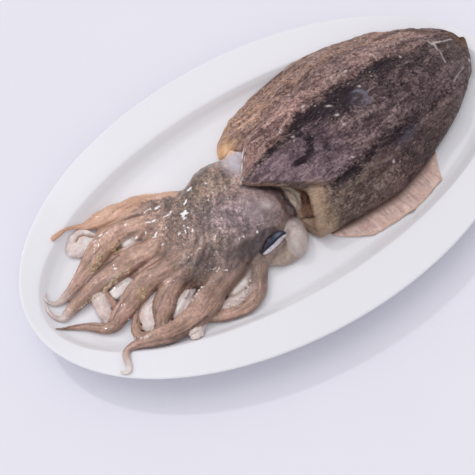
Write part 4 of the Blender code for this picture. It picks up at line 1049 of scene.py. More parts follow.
def build_field(lines, h):
    lo, hi = np.array([-193.0, -72.0, 9.0]), np.array([12.0, 62.0, 38.0])
    n = np.ceil((hi - lo) / h).astype(int) + 1
    axes = [lo[k] + h * np.arange(n[k]) for k in range(3)]
    X, Y, Z = np.meshgrid(*axes, indexing="ij", sparse=True)
    D = head_distance(X, Y, Z)
    for centre, half, turn, k in BULGES:
        D = soft_min(D, ellipsoid(X, Y, Z, centre, half, turn), k)
    # The opening beside the neck is a real hollow.
    D = -soft_min(-D, ellipsoid(X, Y, Z, (1.6, -28.5, 26.0), (5.4, 12.5, 6.5), -28.0), 2.0)
    for name, (at, line, radius, ahead, squash) in lines.items():
        pad = radius.max() + 6.5
        i0 = np.maximum(np.floor((line.min(0) - pad - lo) / h).astype(int), 0)
        i1 = np.minimum(np.ceil((line.max(0) + pad - lo) / h).astype(int) + 1, n)
        sl = tuple(slice(a, b) for a, b in zip(i0, i1))
        A = np.full([b - a for a, b in zip(i0, i1)], 50.0, np.float32)
        ax = [axes[k][i0[k]:i1[k]] for k in range(3)]
        for j in range(len(line) - 1):
            p, q, r0, r1 = line[j], line[j + 1], radius[j], radius[j + 1]
            m = max(r0, r1) + 5.5
            a0 = [max(int((min(p[k], q[k]) - m - ax[k][0]) / h), 0) for k in range(3)]
            a1 = [min(int((max(p[k], q[k]) + m - ax[k][0]) / h) + 2, len(ax[k])) for k in range(3)]
            if any(b <= a for a, b in zip(a0, a1)):
                continue
            gx = ax[0][a0[0]:a1[0]][:, None, None] - p[0]
            gy = ax[1][a0[1]:a1[1]][None, :, None] - p[1]
            gz = (ax[2][a0[2]:a1[2]][None, None, :] - p[2]) * squash
            d = q - p
            u = np.clip((gx * d[0] + gy * d[1] + gz * d[2] * squash) / (d @ d + (squash ** 2 - 1) * d[2] ** 2), 0, 1)
            dist = np.sqrt((gx - u * d[0]) ** 2 + (gy - u * d[1]) ** 2 + (gz - u * d[2] * squash) ** 2) - (r0 + u * (r1 - r0))
            view = A[a0[0]:a1[0], a0[1]:a1[1], a0[2]:a1[2]]
            np.minimum(view, dist, out=view)
        Xs = axes[0][sl[0]][:, None, None]
        k = 0.7 + 4.0 * smooth(-118.0, -86.0, Xs)
        if name in ("looped_arm", "front_arm", "loop_web"):
            k = 0.7 + 4.0 * smooth(-92.0, -62.0, Xs)
        if name == "far_arm":
            k = 0.7 + 2.0 * smooth(-84.0, -66.0, Xs)
        if name in ("curl_hook", "hook_edge"):
            k = 0.4 + 0 * Xs
        D[sl] = soft_min(D[sl], A, k)
    # The underside follows the glaze.
    ground = glaze_height(axes[0][:, None], axes[1][None, :])[:, :, None] + 0.35
    D = -soft_min(-D, -(ground - Z), 0.8)
    return D, lo, h, axes


def surface_net(D, lo, h):
    """Quads over the zero level of a distance grid."""
    n = np.array(D.shape)
    S = D < 0
    corners = [(i, j, k) for i in (0, 1) for j in (0, 1) for k in (0, 1)]
    part = lambda G, c: G[c[0]:n[0] - 1 + c[0], c[1]:n[1] - 1 + c[1], c[2]:n[2] - 1 + c[2]]
    count = sum(part(S, c).astype(np.int8) for c in corners)
    active = (count > 0) & (count < 8)
    ids = np.full(active.shape, -1, np.int64)
    cells = np.argwhere(active)
    ids[active] = np.arange(len(cells))
    val = {c: part(D, c)[active] for c in corners}
    pos, hits = np.zeros((len(cells), 3)), np.zeros(len(cells))
    for a in corners:
        for axis in range(3):
            if a[axis]:
                continue
            b = tuple(v + (1 if k == axis else 0) for k, v in enumerate(a))
            da, db = val[a], val[b]
            m = (da < 0) != (db < 0)
            p = np.tile(np.array(a, float), (m.sum(), 1))
            p[:, axis] += da[m] / (da[m] - db[m])
            pos[m] += p
            hits[m] += 1
    pos = (cells + pos / hits[:, None]) * h + lo
    faces = []
    for axis in range(3):
        o1, o2 = (axis + 1) % 3, (axis + 2) % 3
        sl_a = [slice(None)] * 3
        sl_b = [slice(None)] * 3
        sl_a[axis], sl_b[axis] = slice(0, n[axis] - 1), slice(1, n[axis])
        for sl in (sl_a, sl_b):
            sl[o1], sl[o2] = slice(1, n[o1] - 1), slice(1, n[o2] - 1)
        first, second = S[tuple(sl_a)], S[tuple(sl_b)]
        change = np.argwhere(first != second)
        inward = first[tuple(change.T)]
        base = change.copy()
        base[:, o1] += 1
        base[:, o2] += 1
        step1, step2 = np.eye(3, dtype=int)[o1], np.eye(3, dtype=int)[o2]
        quad = np.stack([ids[tuple((base - d).T)] for d in (step1 + step2, step2, 0 * step1, step1)], axis=1)
        quad[~inward] = quad[~inward][:, ::-1]
        faces.append(quad)
    return pos, np.vstack(faces)


def sample(D, lo, h, P):
    g = (P - lo) / h
    i = np.clip(np.floor(g).astype(int), 0, np.array(D.shape) - 2)
    f = g - i
    out = 0.0
    for dx in (0, 1):
        for dy in (0, 1):
            for dz in (0, 1):
                w = (f[:, 0] if dx else 1 - f[:, 0]) * (f[:, 1] if dy else 1 - f[:, 1]) * (f[:, 2] if dz else 1 - f[:, 2])
                out = out + w * D[i[:, 0] + dx, i[:, 1] + dy, i[:, 2] + dz]
    return out


def relax(pos, quads, D, lo, h, rounds):
    edges = np.vstack((quads[:, [0, 1]], quads[:, [1, 2]], quads[:, [2, 3]], quads[:, [3, 0]]))
    for _ in range(rounds):
        total, near = np.zeros_like(pos), np.zeros(len(pos))
        for a, b in ((0, 1), (1, 0)):
            np.add.at(total, edges[:, a], pos[edges[:, b]])
            np.add.at(near, edges[:, a], 1)
        pos = 0.45 * pos + 0.55 * total / near[:, None]
        d = sample(D, lo, h, pos)
        e = 0.5 * h
        g = np.stack([(sample(D, lo, h, pos + e * np.eye(3)[k]) - sample(D, lo, h, pos - e * np.eye(3)[k])) / (2 * e)
                      for k in range(3)], 1)
        g2 = np.maximum((g ** 2).sum(1), 0.15)
        pos = pos - g * np.clip(d / g2, -0.6, 0.6)[:, None]
    return pos


def arm_coordinates(pos, lines):
    """For each point, the arm it belongs to, how far along, and the angle round it."""
    best = np.full(len(pos), 1e9)
    along, turn, share = np.zeros(len(pos)), np.zeros(len(pos)), np.zeros(len(pos))
    which = np.zeros(len(pos), int)
    for k, (name, (at, line, radius, ahead, squash)) in enumerate(lines.items()):
        for c in range(0, len(pos), 20000):
            p = pos[c:c + 20000]
            d = p[:, None, :] - line[None, :, :]
            dist = np.sqrt(d[..., 0] ** 2 + d[..., 1] ** 2 + (d[..., 2] * squash) ** 2) - radius[None, :]
            j = dist.argmin(1)
            r = np.arange(len(p))
            dj = dist[r, j]
            near = dj < best[c:c + 20000]
            o = d[r, j]
            side = -o[:, 0] * ahead[j, 1] + o[:, 1] * ahead[j, 0]
            ang = np.arctan2(side, o[:, 2] * squash)
            fwd = o[:, 0] * ahead[j, 0] + o[:, 1] * ahead[j, 1]
            sel = np.nonzero(near)[0]
            best[c + sel] = dj[sel]
            along[c + sel] = (at[j] + fwd)[sel]
            turn[c + sel] = ang[sel]
            share[c + sel] = (at[j] / at[-1])[sel]
            which[c + sel] = k
    return best, along, turn, share, which


def seen(x, y, z, level):
    """Where the sight line through each point from the front crosses a level plane."""
    px, py, pz = -225.38, -253.29, 519.62
    u = (level - pz) / (z - pz)
    return px + (x - px) * u, py + (y - py) * u


FAR_EDGE = ((0, 26), (3.5, 32), (7, 36.5), (10.7, 41.0), (17, 48.4), (25, 54.0), (40, 60.4), (57, 64.6), (76, 66.8),
            (95, 67.0), (115, 65.0), (134, 60.8), (156, 53.6), (176, 44.8), (193, 34.0), (205, 25.0), (213, 17.6),
            (218, 10.6), (220.2, 5.2), (221, 1.0))
FLATTER = {"upper_arm": 1.55, "left_arm": 1.5, "middle_arm": 1.45, "far_arm": 1.35, "loop_web": 1.7, "web_club": 1.4,
           "pale_arm": 1.4, "front_arm": 1.4, "short_arm": 1.35, "club_tip": 1.45, "looped_arm": 1.3, "inner_club": 1.4,
           "white_web": 2.0, "loop_fill": 1.6, "window_pad": 1.4, "far_seam": 1.6, "upper_seam": 1.5, "middle_seam": 1.6}
def hit(field, X, Y, level):
    """Where the sight line through a place of the plan at this level first meets the body."""
    D, lo, h = field
    X, Y = np.broadcast_arrays(np.asarray(X, float), np.asarray(Y, float))
    eye = np.array([-225.38, -253.29, 519.62])
    q = np.stack((X.ravel(), Y.ravel(), np.full(X.size, float(level))), 1)
    z = np.arange(37.5, 9.0, -0.25)
    out = np.zeros((len(q), 3))
    for i, target in enumerate(q):
        u = (z - eye[2]) / (target[2] - eye[2])
        P = eye + u[:, None] * (target - eye)
        d = sample(D, lo, h, P)
        k = int(np.argmax(d < 0)) if (d < 0).any() else len(z) - 1
        k = max(k, 1)
        w = np.clip(d[k - 1] / (d[k - 1] - d[k] + 1e-9), 0, 1)
        out[i] = P[k - 1] + w * (P[k] - P[k - 1])
    return out.reshape(X.shape + (3,))


def slope(field, P):
    """Outward direction of the body at each point."""
    D, lo, h = field
    e = 1.2 * h
    g = np.stack([sample(D, lo, h, P + e * np.eye(3)[k]) - sample(D, lo, h, P - e * np.eye(3)[k]) for k in range(3)], 1)
    return g / (np.linalg.norm(g, axis=1, keepdims=True) + 1e-9)


def build_eye(field):
    """A long dark eye with its white showing below, under the skin of the head."""
    rows, cols = 60, 26
    w, v = np.meshgrid(np.linspace(-1, 1, rows), np.linspace(-1, 1, cols), indexing="ij")
    half = np.where(v > 0, 2.7, 5.9) * np.clip(1 - w ** 2, 0.0, 1) ** 0.6 + 0.05
    a = 12.2 * w
    b = half * v - 0.012 * a * a
    X = -40.0 + a * 0.975 - b * 0.22
    Y = -38.2 + a * 0.22 + b * 0.975
    top = hit(field, X, Y, 25.0)
    flat = top.reshape(-1, 3)
    n = slope(field, flat)
    rise = (-0.9 + 1.5 * (1 - np.clip(w ** 2 + v ** 2, 0, 1)) - 0.1 * smooth(0.2, 0.9, v)).ravel()
    high = flat + n * rise[:, None]
    low = flat - n * 3.0
    count = rows * cols
    pts = np.vstack((high, low))
    faces = grid_faces(rows, cols, False)
    walls = []
    for edge in (np.arange(rows) * cols, np.arange(rows) * cols + cols - 1, np.arange(cols), count - cols + np.arange(cols)):
        walls.append(np.stack((edge[:-1], edge[1:], edge[1:] + count, edge[:-1] + count), 1))
    quads = np.vstack([faces, faces[:, ::-1] + count] + walls)
    bb = half * v
    lower = -2.3 + 0.4 * np.maximum(w, 0) + 2.2 * np.maximum(-w, 0) ** 1.5
    white = smooth(0.1, -0.7, bb - lower) * smooth(-0.99, -0.86, w) * smooth(0.97, 0.84, w)
    line = bell(bb, lower + 0.5, 0.7) * smooth(1.0, 0.85, np.abs(w))
    # Painted highlight: a blue-grey reflection at the right end of the eye.
    painted_eye_highlight = blob(w, bb, 0.58, 0.2, 0.26, 1.7)
    skin = smooth(0.6, 2.8, bb + 1.2 * np.maximum(-w, 0)) * (1 - 0.85 * painted_eye_highlight)
    skin = np.maximum(skin, smooth(-0.45, -0.95, w) * 0.8)
    both = lambda q: np.concatenate((q.ravel(), q.ravel()))
    obj = make_object("eye", pts, quads, {"white": both(white), "painted_eye_highlight": both(painted_eye_highlight), "line": both(line), "skin": both(skin)})
    orient_outwards(obj)
    sh = Shade("wet_eye")
    p = sh.place()
    cloud = sh.noise(p, 260.0, 4.0, 0.6)
    navy = sh.mix(sh.range(cloud, 0.40, 0.62), rgb(22, 26, 44), rgb(58, 66, 88))
    navy = sh.mix(sh.attribute("painted_eye_highlight"), navy, rgb(116, 124, 146))
    navy = sh.mix(sh.attribute("skin"), navy, sh.mix(sh.range(cloud, 0.40, 0.62), rgb(44, 30, 38), rgb(84, 66, 70)))
    colour = sh.mix(sh.attribute("white"), navy, sh.mix(sh.range(cloud, 0.4, 0.6), rgb(226, 220, 230), rgb(196, 188, 202)))
    colour = sh.mix(sh.attribute("line"), colour, rgb(14, 14, 26))
    sh.set(Base_Color=colour)
    wet(sh, sh.range(cloud, 0.3, 0.7, 0.34, 0.22), coat=0.45, coat_rough=0.05, flesh=0.03)
    sh.bsdf.inputs["Specular IOR Level"].default_value = 0.2
    sh.set(Normal=sh.bump(cloud, 0.4, 0.4))
    obj.data.materials.append(sh.mat)
    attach(obj, "root")
    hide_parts("cuttlefish")


def sucker_places(lines):
    """Plan place at the level of 15 mm, radius and kind of each sucker that shows."""
    rng = np.random.RandomState(11)
    out = []

    def cluster(points, radius, kind, spread_mm):
        for cx, cy in points:
            out.append((cx + rng.uniform(-1, 1) * spread_mm, cy + rng.uniform(-1, 1) * spread_mm,
                        radius * rng.uniform(0.75, 1.25), kind))

    def along(points, gap, radius, kind, jitter=0.35):
        at, rows = route([(a, b) for a, b in points], gap)
        cluster([tuple(r) for r in rows], radius, kind, jitter)

    along(((-121.5, 27.0), (-125, 25.0), (-128.5, 20.5)), 2.0, 1.7, 1.0, 1.0)
    along(((-123, 23.0), (-127, 21.8)), 2.0, 1.5, 0.9, 1.0)
    along(((-136.5, 24.6), (-141, 22.0), (-147.0, 17.4)), 1.8, 1.5, 0.95, 0.9)
    along(((-139.5, 20.6), (-145, 17.6)), 2.0, 1.2, 0.8, 0.6)
    along(((-128.5, 4.2), (-134, 5.0), (-140, 2.8), (-148.0, 1.2)), 1.9, 1.5, 0.8, 0.9)
    along(((-150, 0.6), (-158, 0.2), (-168, -0.6)), 2.0, 0.7, 0.6, 0.3)
    along(((-127, -12.5), (-131, -15.0), (-130, -18.0)), 1.9, 1.2, 1.0, 0.7)
    along(((-149.5, -39.6), (-146, -42.2), (-141, -43.4)), 1.9, 1.0, 0.3, 0.3)
    along(((-95, -35.2), (-101, -37.4), (-107, -40.2)), 2.2, 0.95, 0.2, 0.4)
    along(((-67, -50.5), (-73, -54.0), (-80, -55.5), (-88, -55.5)), 2.9, 1.25, 0.25, 1.0)
    along(((-70, -53.5), (-77, -57.0), (-85, -58.0)), 2.9, 1.1, 0.15, 0.8)
    along(((-113.5, -63.0), (-117.5, -65.2), (-121.0, -63.4)), 2.2, 1.1, 0.1, 0.4)
    along(((-122.0, -58.0), (-115.0, -58.6)), 2.4, 1.2, 0.05, 0.5)
    along(((-104, -32.0), (-108, -34.5)), 2.2, 1.0, 0.1, 0.4)
    return out


def build_suckers(lines, field):
    rows, cols = 7, 14
    profile = np.array([(0.0, 0.30), (0.28, 0.34), (0.50, 0.62), (0.74, 0.74), (0.96, 0.44), (1.05, -0.05), (0.9, -0.6)])
    verts, faces, kind = [], [], []
    spots = sucker_places(lines)
    centres = hit(field, np.array([q[0] for q in spots]), np.array([q[1] for q in spots]), 15.0)
    normals = slope(field, centres)
    a = np.linspace(0, 2 * np.pi, cols, endpoint=False)
    for (cx, cy, radius, tone), c, n in zip(spots, centres, normals):
        if c[2] < glaze_height(c[0], c[1]) + 0.9:
            continue
        e1 = np.cross(n, (0.3, 0.9, 0.1))
        e1 /= np.linalg.norm(e1)
        e2 = np.cross(n, e1)
        base = len(verts) and sum(len(v) for v in verts)
        ring = []
        for r, z in profile[1:]:
            ring.append(c + radius * (r * np.cos(a)[:, None] * e1 + r * np.sin(a)[:, None] * e2 + z * 0.85 * n))
        block = np.vstack([c + radius * 0.30 * 0.85 * n] + ring + [c - radius * 0.7 * n])
        m = len(profile) - 1
        for i in range(m - 1):
            for j in range(cols):
                k = (j + 1) % cols
                p0, p1 = base + 1 + i * cols + j, base + 1 + i * cols + k
                faces.append((p0, p1, p1 + cols, p0 + cols))
        for j in range(cols):
            k = (j + 1) % cols
            faces.append((base, base + 1 + k, base + 1 + j, base))
            last = base + 1 + (m - 1) * cols
            faces.append((last + j, last + k, base + 1 + m * cols, last + j))
        verts.append(block)
        kind.append(np.full(len(block), tone))
    pts = np.vstack(verts)
    quads = [f for f in faces if len(set(f)) == 4]
    tris = [(f[0], f[1], f[2]) for f in faces if len(set(f)) == 3]
    obj = make_object("suckers", pts, quads, {"kind": np.concatenate(kind)})
    add_triangles(obj, tris)
    orient_outwards(obj)
    sh = Shade("sucker_flesh")
    p = sh.place()
    cloud = sh.noise(p, 400.0, 3.0, 0.6)
    colour = sh.mix(sh.attribute("kind"), sh.mix(sh.range(cloud, 0.4, 0.6), rgb(228, 216, 212), rgb(200, 178, 172)),
                    sh.mix(sh.range(cloud, 0.4, 0.6), rgb(214, 182, 150), rgb(170, 134, 104)))
    sh.set(Base_Color=colour)
    sh.set(Normal=sh.bump(cloud, 0.5, 0.3))
    wet(sh, sh.range(cloud, 0.3, 0.7, 0.35, 0.22), coat=0.8, coat_rough=0.06, flesh=0.2)
    obj.data.materials.append(sh.mat)
    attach(obj, "root")
    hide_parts("cuttlefish")


def build_head():
    lines = arm_lines()
    h = 0.80
    D, lo, h, axes = build_field(lines, h)
    pos, quads = surface_net(D, lo, h)
    pos = relax(pos, quads, D, lo, h, 3)
    n = normals_of(pos, quads)
    x, y, z = pos.T
    best, along, turn, share, which = arm_coordinates(pos, lines)
    names = list(lines)
    index = names.index
    X, Y = seen(x, y, z, 25.0)          # head features are placed in this plan
    U, V = seen(x, y, z, 15.0)          # and those of the arms in this one
    arm = smooth(1.8, 0.2, best) * smooth(-78.0, -104.0, x + 0.18 * (y - 5))
    arm = np.maximum(arm, smooth(1.0, 0.0, best) * smooth(-46, -54, y + 0.1 * x))
    arm = np.maximum(arm, smooth(1.0, 0.0, best) * (which == index("far_arm")))
    pale_arm = np.array([PALE.get(k, 0.0) for k in names])[which]
    tan = np.array([TAN.get(k, 0.0) for k in names])[which]
    wide = np.array([lines[k][2].max() for k in names])[which]
    pale = pale_arm * smooth(1.5, 0.2, best)
    # The oral side turns down and to one side; it is pale where it shows.
    pale = np.maximum(pale, smooth(1.55, 2.2, np.abs(turn)) * 0.6 * arm * smooth(1.5, 0.2, best) * (x < -112))
    curl = smooth(1.5, 0.0, ellipsoid(x, y, z, (-143.0, 43.5, 11.6), (14.0, 11.0, 4.6), -36.0))
    curl *= np.where((which == index("far_arm")) & (best < 0.5), 0.0, 1.0)
    pale = np.maximum(pale, 0.95 * curl)
    # Relief: fibres run along the arms, wrinkles and warts over the head.
    up = smooth(-0.2, 0.5, n[:, 2])
    dome = smooth(4.0, -2.0, ellipsoid(x, y, z, (-32.5, -12.7, 12.0), (23.5, 23.5, 23.0), 0.0)) * smooth(-62, -52, X) * smooth(22, 10, Y)
    fibre = noise(along / 16.0, turn * 2.4, which * 3.1, 31, 2)
    fold = noise(along / 26.0, turn * 1.5, which * 2.7, 32, 2)
    rough = noise(x / 9.0, y / 9.0, z / 9.0, 33, 2)
    wrinkle = noise(x / 4.2, y / 4.2, z / 4.2, 35, 2)
    grain = noise(x / 2.0, y / 2.0, z / 2.0, 36, 1)
    h_r = arm * (0.25 * fibre + 0.50 * fold + 0.30 * wrinkle + 0.12 * grain)
    h_r += (1 - arm) * (1 - 0.8 * dome) * (0.95 * rough + 1.0 * wrinkle + 0.5 * grain)
    h_r = np.where(which == index("far_arm"), 0.4 * h_r, h_r)
    # Valleys between the arm bases run down the crown.
    crown = smooth(-62, -80, x) * smooth(-122, -104, x)
    wave = 0.5 + 0.5 * np.cos(2 * np.pi * (y - 0.42 * (x + 60) + 2.5 * noise(x / 18.0, y / 18.0, 0, 38)) / 17.5)
    h_r -= crown * 0.9 * smooth(0.3, 0.9, wave) * up

    def line(points, width, A, B):
        out = np.zeros_like(A)
        for (a0, b0), (a1, b1) in zip(points[:-1], points[1:]):
            d = np.array([a1 - a0, b1 - b0])
            w_ = np.clip(((A - a0) * d[0] + (B - b0) * d[1]) / (d @ d), 0, 1)
            out = np.maximum(out, bell(np.hypot(A - a0 - w_ * d[0], B - b0 - w_ * d[1]), 0, width))
        return out

    # Two light ridges run down the crown with a dark furrow between them.
    uneven = np.clip(0.7 + 0.9 * noise(X / 3.0, Y / 3.0, 0.0, 44, 2), 0.1, 1.4)
    bend = 1.2 * noise(X / 6.0, Y / 6.0, 0.5, 45)
    ridge = np.maximum.reduce([line(((-97, -17), (-89, -9.5), (-80, -3.5)), 1.3, X, Y + bend), line(((-93, -23), (-85, -15.5), (-76, -9.5)), 1.2, X, Y + bend),
                               0.8 * line(((-83, -24), (-77, -19), (-71, -15)), 1.1, X, Y + bend)]) * uneven
    furrow = np.maximum(line(((-95, -20.5), (-87, -12.5), (-78, -6.5)), 1.0, X, Y + bend), 0.8 * line(((-89, -25), (-81, -18.5), (-73, -13)), 1.0, X, Y + bend)) * uneven
    h_r += 0.7 * ridge - 0.6 * furrow
    size = np.clip(wide / 5.0, 0.25, 1.0)
    # The eye sits in a slit under a heavy lid.
    ex, ey = (X + 40.0) * 0.975 + (Y + 38.2) * 0.22, -(X + 40.0) * 0.22 + (Y + 38.2) * 0.975
    bent = ey + 0.012 * ex * ex
    leaf = np.sqrt((ex / 12.3) ** 2 + (bent / np.where(bent > 0, 2.9, 6.1)) ** 2)
    facing = smooth(-0.1, 0.25, n @ np.array([-0.295, -0.403, 0.866]))
    h_r *= 1 - 0.75 * smooth(2.2, 0.3, ellipsoid(x, y, z, (-21.0, -41.5, 15.5), (8.4, 15.0, 8.2), -28.0))
    h_r += facing * (-2.2 * smooth(1.10, 0.86, leaf) + 0.6 * bell(leaf, 1.32, 0.22) * smooth(2, -3, ey))
    # A crease curls inside the white disc; its brown colour is painted shade.
    crease = line(((-143.5, 44.5), (-140.5, 46.6), (-136.5, 46.0), (-133.5, 42.5), (-130.0, 39.0)), 0.9, U, V) * curl
    h_r -= 1.3 * crease
    h_r += 1.0 * line(((-145, 49.0), (-140.0, 51), (-135.0, 49), (-130.5, 43.5)), 1.9, U, V) * curl
    pos = pos + n * (h_r * up * np.where(arm > 0.5, size, 1.0))[:, None]
    # Tones, with painted shade and painted highlights among them.
    dark = 0.55 * blob(X, Y, -52, -6, 3.6, 3.4) + 0.25 * blob(X, Y, -66, 3, 9, 7, 0) + 0.55 * blob(X, Y, -83, -31, 6.5, 5, 0)
    dark += 0.85 * blob(X, Y, -50, -33.5, 9.5, 6.5, 0) + 0.75 * blob(X, Y, -41, -31, 9.0, 4.2, 12) + 1.3 * smooth(3.6, 1.15, leaf) * smooth(-1.0, 1.5, ey) * facing * smooth(13, 6, ex)
    dark += 0.35 * blob(X, Y, -62, -38, 9.0, 9.0, 0) + 0.45 * line(((-52, -44), (-44, -47), (-36, -46), (-31, -43)), 2.2, X, Y)
    dark += 0.35 * blob(X, Y, -100, -20, 10, 7, 20) + 0.35 * blob(X, Y, -84, -22, 12, 3.4, 30) + 0.25 * blob(X, Y, -72, -42, 9, 7, -20)
    dark += 0.25 * blob(X, Y, -88, 2, 12, 3.0, 25) + 0.25 * blob(X, Y, -78, -8, 3, 9, -30) + 0.45 * furrow
    # Painted shade in the crevice between the round of the head and the neck.
    crevice_shade = line(((-30, 9), (-22, 1), (-14.5, -4), (-10.6, -10.5), (-11.6, -23), (-14.4, -33), (-16.5, -39)), 1.4, X, Y)
    dark += 1.0 * crevice_shade
    # Painted shade in the valleys between the arm bases.
    dark += 0.30 * crown * smooth(0.45, 0.9, wave)
    # Wet gleams on the crown and the arms.
    gleam = np.maximum.reduce([
        1.2 * line(((-76.5, 13.3), (-73.2, 15.4)), 0.95, X, Y), line(((-76.4, 15.0), (-72.4, 13.4)), 0.75, X, Y), line(((-77.6, 11.2), (-75.4, 11.8)), 0.6, X, Y),
        line(((-70.5, 20.3), (-67.5, 22.0)), 0.7, X, Y), line(((-62.5, 27.5), (-59.5, 28.4)), 0.7, X, Y),
        line(((-36.0, 36.6), (-34.8, 37.6)), 0.6, X, Y), line(((-87.4, 28.2), (-85.2, 28.9)), 1.0, X, Y),
        0.8 * line(((-95.4, 20.8), (-93.0, 21.4)), 0.6, X, Y), 0.8 * line(((-87, 19.8), (-84, 19.4)), 0.5, X, Y),
        line(((-100.6, 10.4), (-99.4, 12.2)), 0.8, X, Y), 0.9 * line(((-102.4, 11.6), (-101, 10.2)), 0.5, X, Y),
        0.95 * line(((-43.6, -27.4), (-43.2, -27.0)), 0.9, X, Y), 0.8 * line(((-53.5, -25), (-53.2, -24.6)), 0.8, X, Y),
        0.75 * line(((-85, -31.6), (-83, -33)), 0.5, X, Y), 0.75 * line(((-82, -35), (-80, -34.4)), 0.5, X, Y),
        0.75 * line(((-78.4, -37.4), (-76.6, -38.6)), 0.45, X, Y), 0.7 * line(((-97, -39.5), (-95.4, -39.8)), 0.6, X, Y),
        0.7 * line(((-55.6, 13.2), (-55, 13.6)), 0.6, X, Y), 0.7 * line(((-68.6, -13.6), (-68, -13)), 0.6, X, Y),
        0.8 * line(((-134.5, 36.4), (-132, 36.9)), 0.45, U, V), 0.85 * line(((-129.5, 38.4), (-126.6, 38.6)), 0.5, U, V),
        0.8 * line(((-124.6, 37.6), (-122.8, 37.9)), 0.45, U, V), 0.8 * line(((-130.8, 34.8), (-129.6, 36.0)), 0.45, U, V),
        0.8 * line(((-123.6, 35.0), (-122.2, 36.0)), 0.45, U, V), 0.75 * line(((-127, 36.2), (-126, 36.8)), 0.45, U, V),
        0.7 * line(((-138.4, 29.9), (-137.4, 30.7)), 0.45, U, V), 0.85 * line(((-85.6, 33.8), (-83.6, 34.6)), 0.9, U, V),
        0.75 * line(((-93.6, 36.6), (-91.4, 36.9)), 0.5, U, V), 0.7 * line(((-98.0, 15.2), (-96.8, 17.4)), 0.8, U, V),
        0.75 * line(((-95.6, 27.3), (-93.2, 26.9)), 0.6, U, V), 0.7 * line(((-92, 26.6), (-90.8, 26.7)), 0.5, U, V),
        0.75 * line(((-83.6, 24.9), (-80.6, 25.1)), 0.5, U, V), 0.7 * line(((-146, -26), (-145, -27)), 0.45, U, V),
        0.7 * line(((-126, -43.2), (-124, -42.4)), 0.45, U, V), 0.7 * line(((-98, -35.4), (-95.6, -34.8)), 0.5, U, V),
        0.65 * line(((-149.4, 9.3), (-148.4, 9.8)), 0.6, U, V), 0.65 * line(((-134.4, 10.8), (-133, 11.1)), 0.8, U, V),
    ])
    for x0, y0, x1, y1, r in ((-83.8, -14.1, -81.4, -15.0, 0.6), (-93.5, -17.1, -91.0, -15.3, 0.45), (-83.4, -35.1, -80.9, -37.0, 0.45), (-69.8, -15.6, -69.4, -12.8, 0.55),
                              (-73.4, -22.3, -74.5, -23.8, 0.6), (-89.0, -4.7, -88.8, -6.6, 0.5), (-82.4, 0.8, -81.7, 2.7, 0.5), (-77.3, 0.6, -78.3, -1.0, 0.5),
                              (-87.7, -31.5, -86.1, -31.9, 0.5), (-104.6, 15.5, -104.0, 17.4, 0.5), (-95.8, 21.5, -93.2, 21.4, 0.6), (-99.3, 22.8, -98.4, 22.1, 0.5),
                              (-84.8, 19.6, -81.2, 20.2, 0.6), (-87.7, 19.6, -86.2, 20.0, 0.5), (-79.0, 2.5, -79.2, 4.1, 0.5), (-87.5, 2.6, -86.0, 3.0, 0.5),
                              (-100.9, 2.3, -99.4, 2.6, 0.5), (-111.9, 16.6, -110.4, 17.0, 0.5), (-86.3, -4.6, -84.8, -4.3, 0.5), (-92.4, 31.1, -91.3, 30.2, 0.6),
                              (-106.5, -4.8, -105.4, -5.6, 0.5), (-77.6, -37.1, -75.1, -38.9, 0.4), (-70.9, -19.0, -69.4, -18.7, 0.5), (-57.0, -4.2, -55.5, -3.8, 0.35),
                              (-118.9, -42.1, -116.0, -44.7, 0.45), (-104.3, -42.7, -102.1, -41.6, 0.5), (-109.8, -37.0, -107.1, -37.9, 0.5), (-125.1, -26.1, -124.2, -26.8, 0.5),
                              (-135.4, 5.7, -134.5, 5.1, 0.5), (-96.6, 9.4, -95.8, 8.2, 0.4), (-98.6, 13.6, -97.8, 12.6, 0.4), (-91.5, 11.2, -90.6, 12.4, 0.4),
                              (-25.9, 6.5, -26.0, 8.1, 0.4), (-60.7, 34.8, -57.2, 36.8, 0.3), (-97.4, -38.9, -96.2, -39.7, 0.5), (-83.0, -32.1, -81.9, -33.0, 0.5)):
        gleam = np.maximum(gleam, (0.85 if y0 > 0 else 0.52) * line(((x0, y0), (x1, y1)), r + 0.12, X, Y))
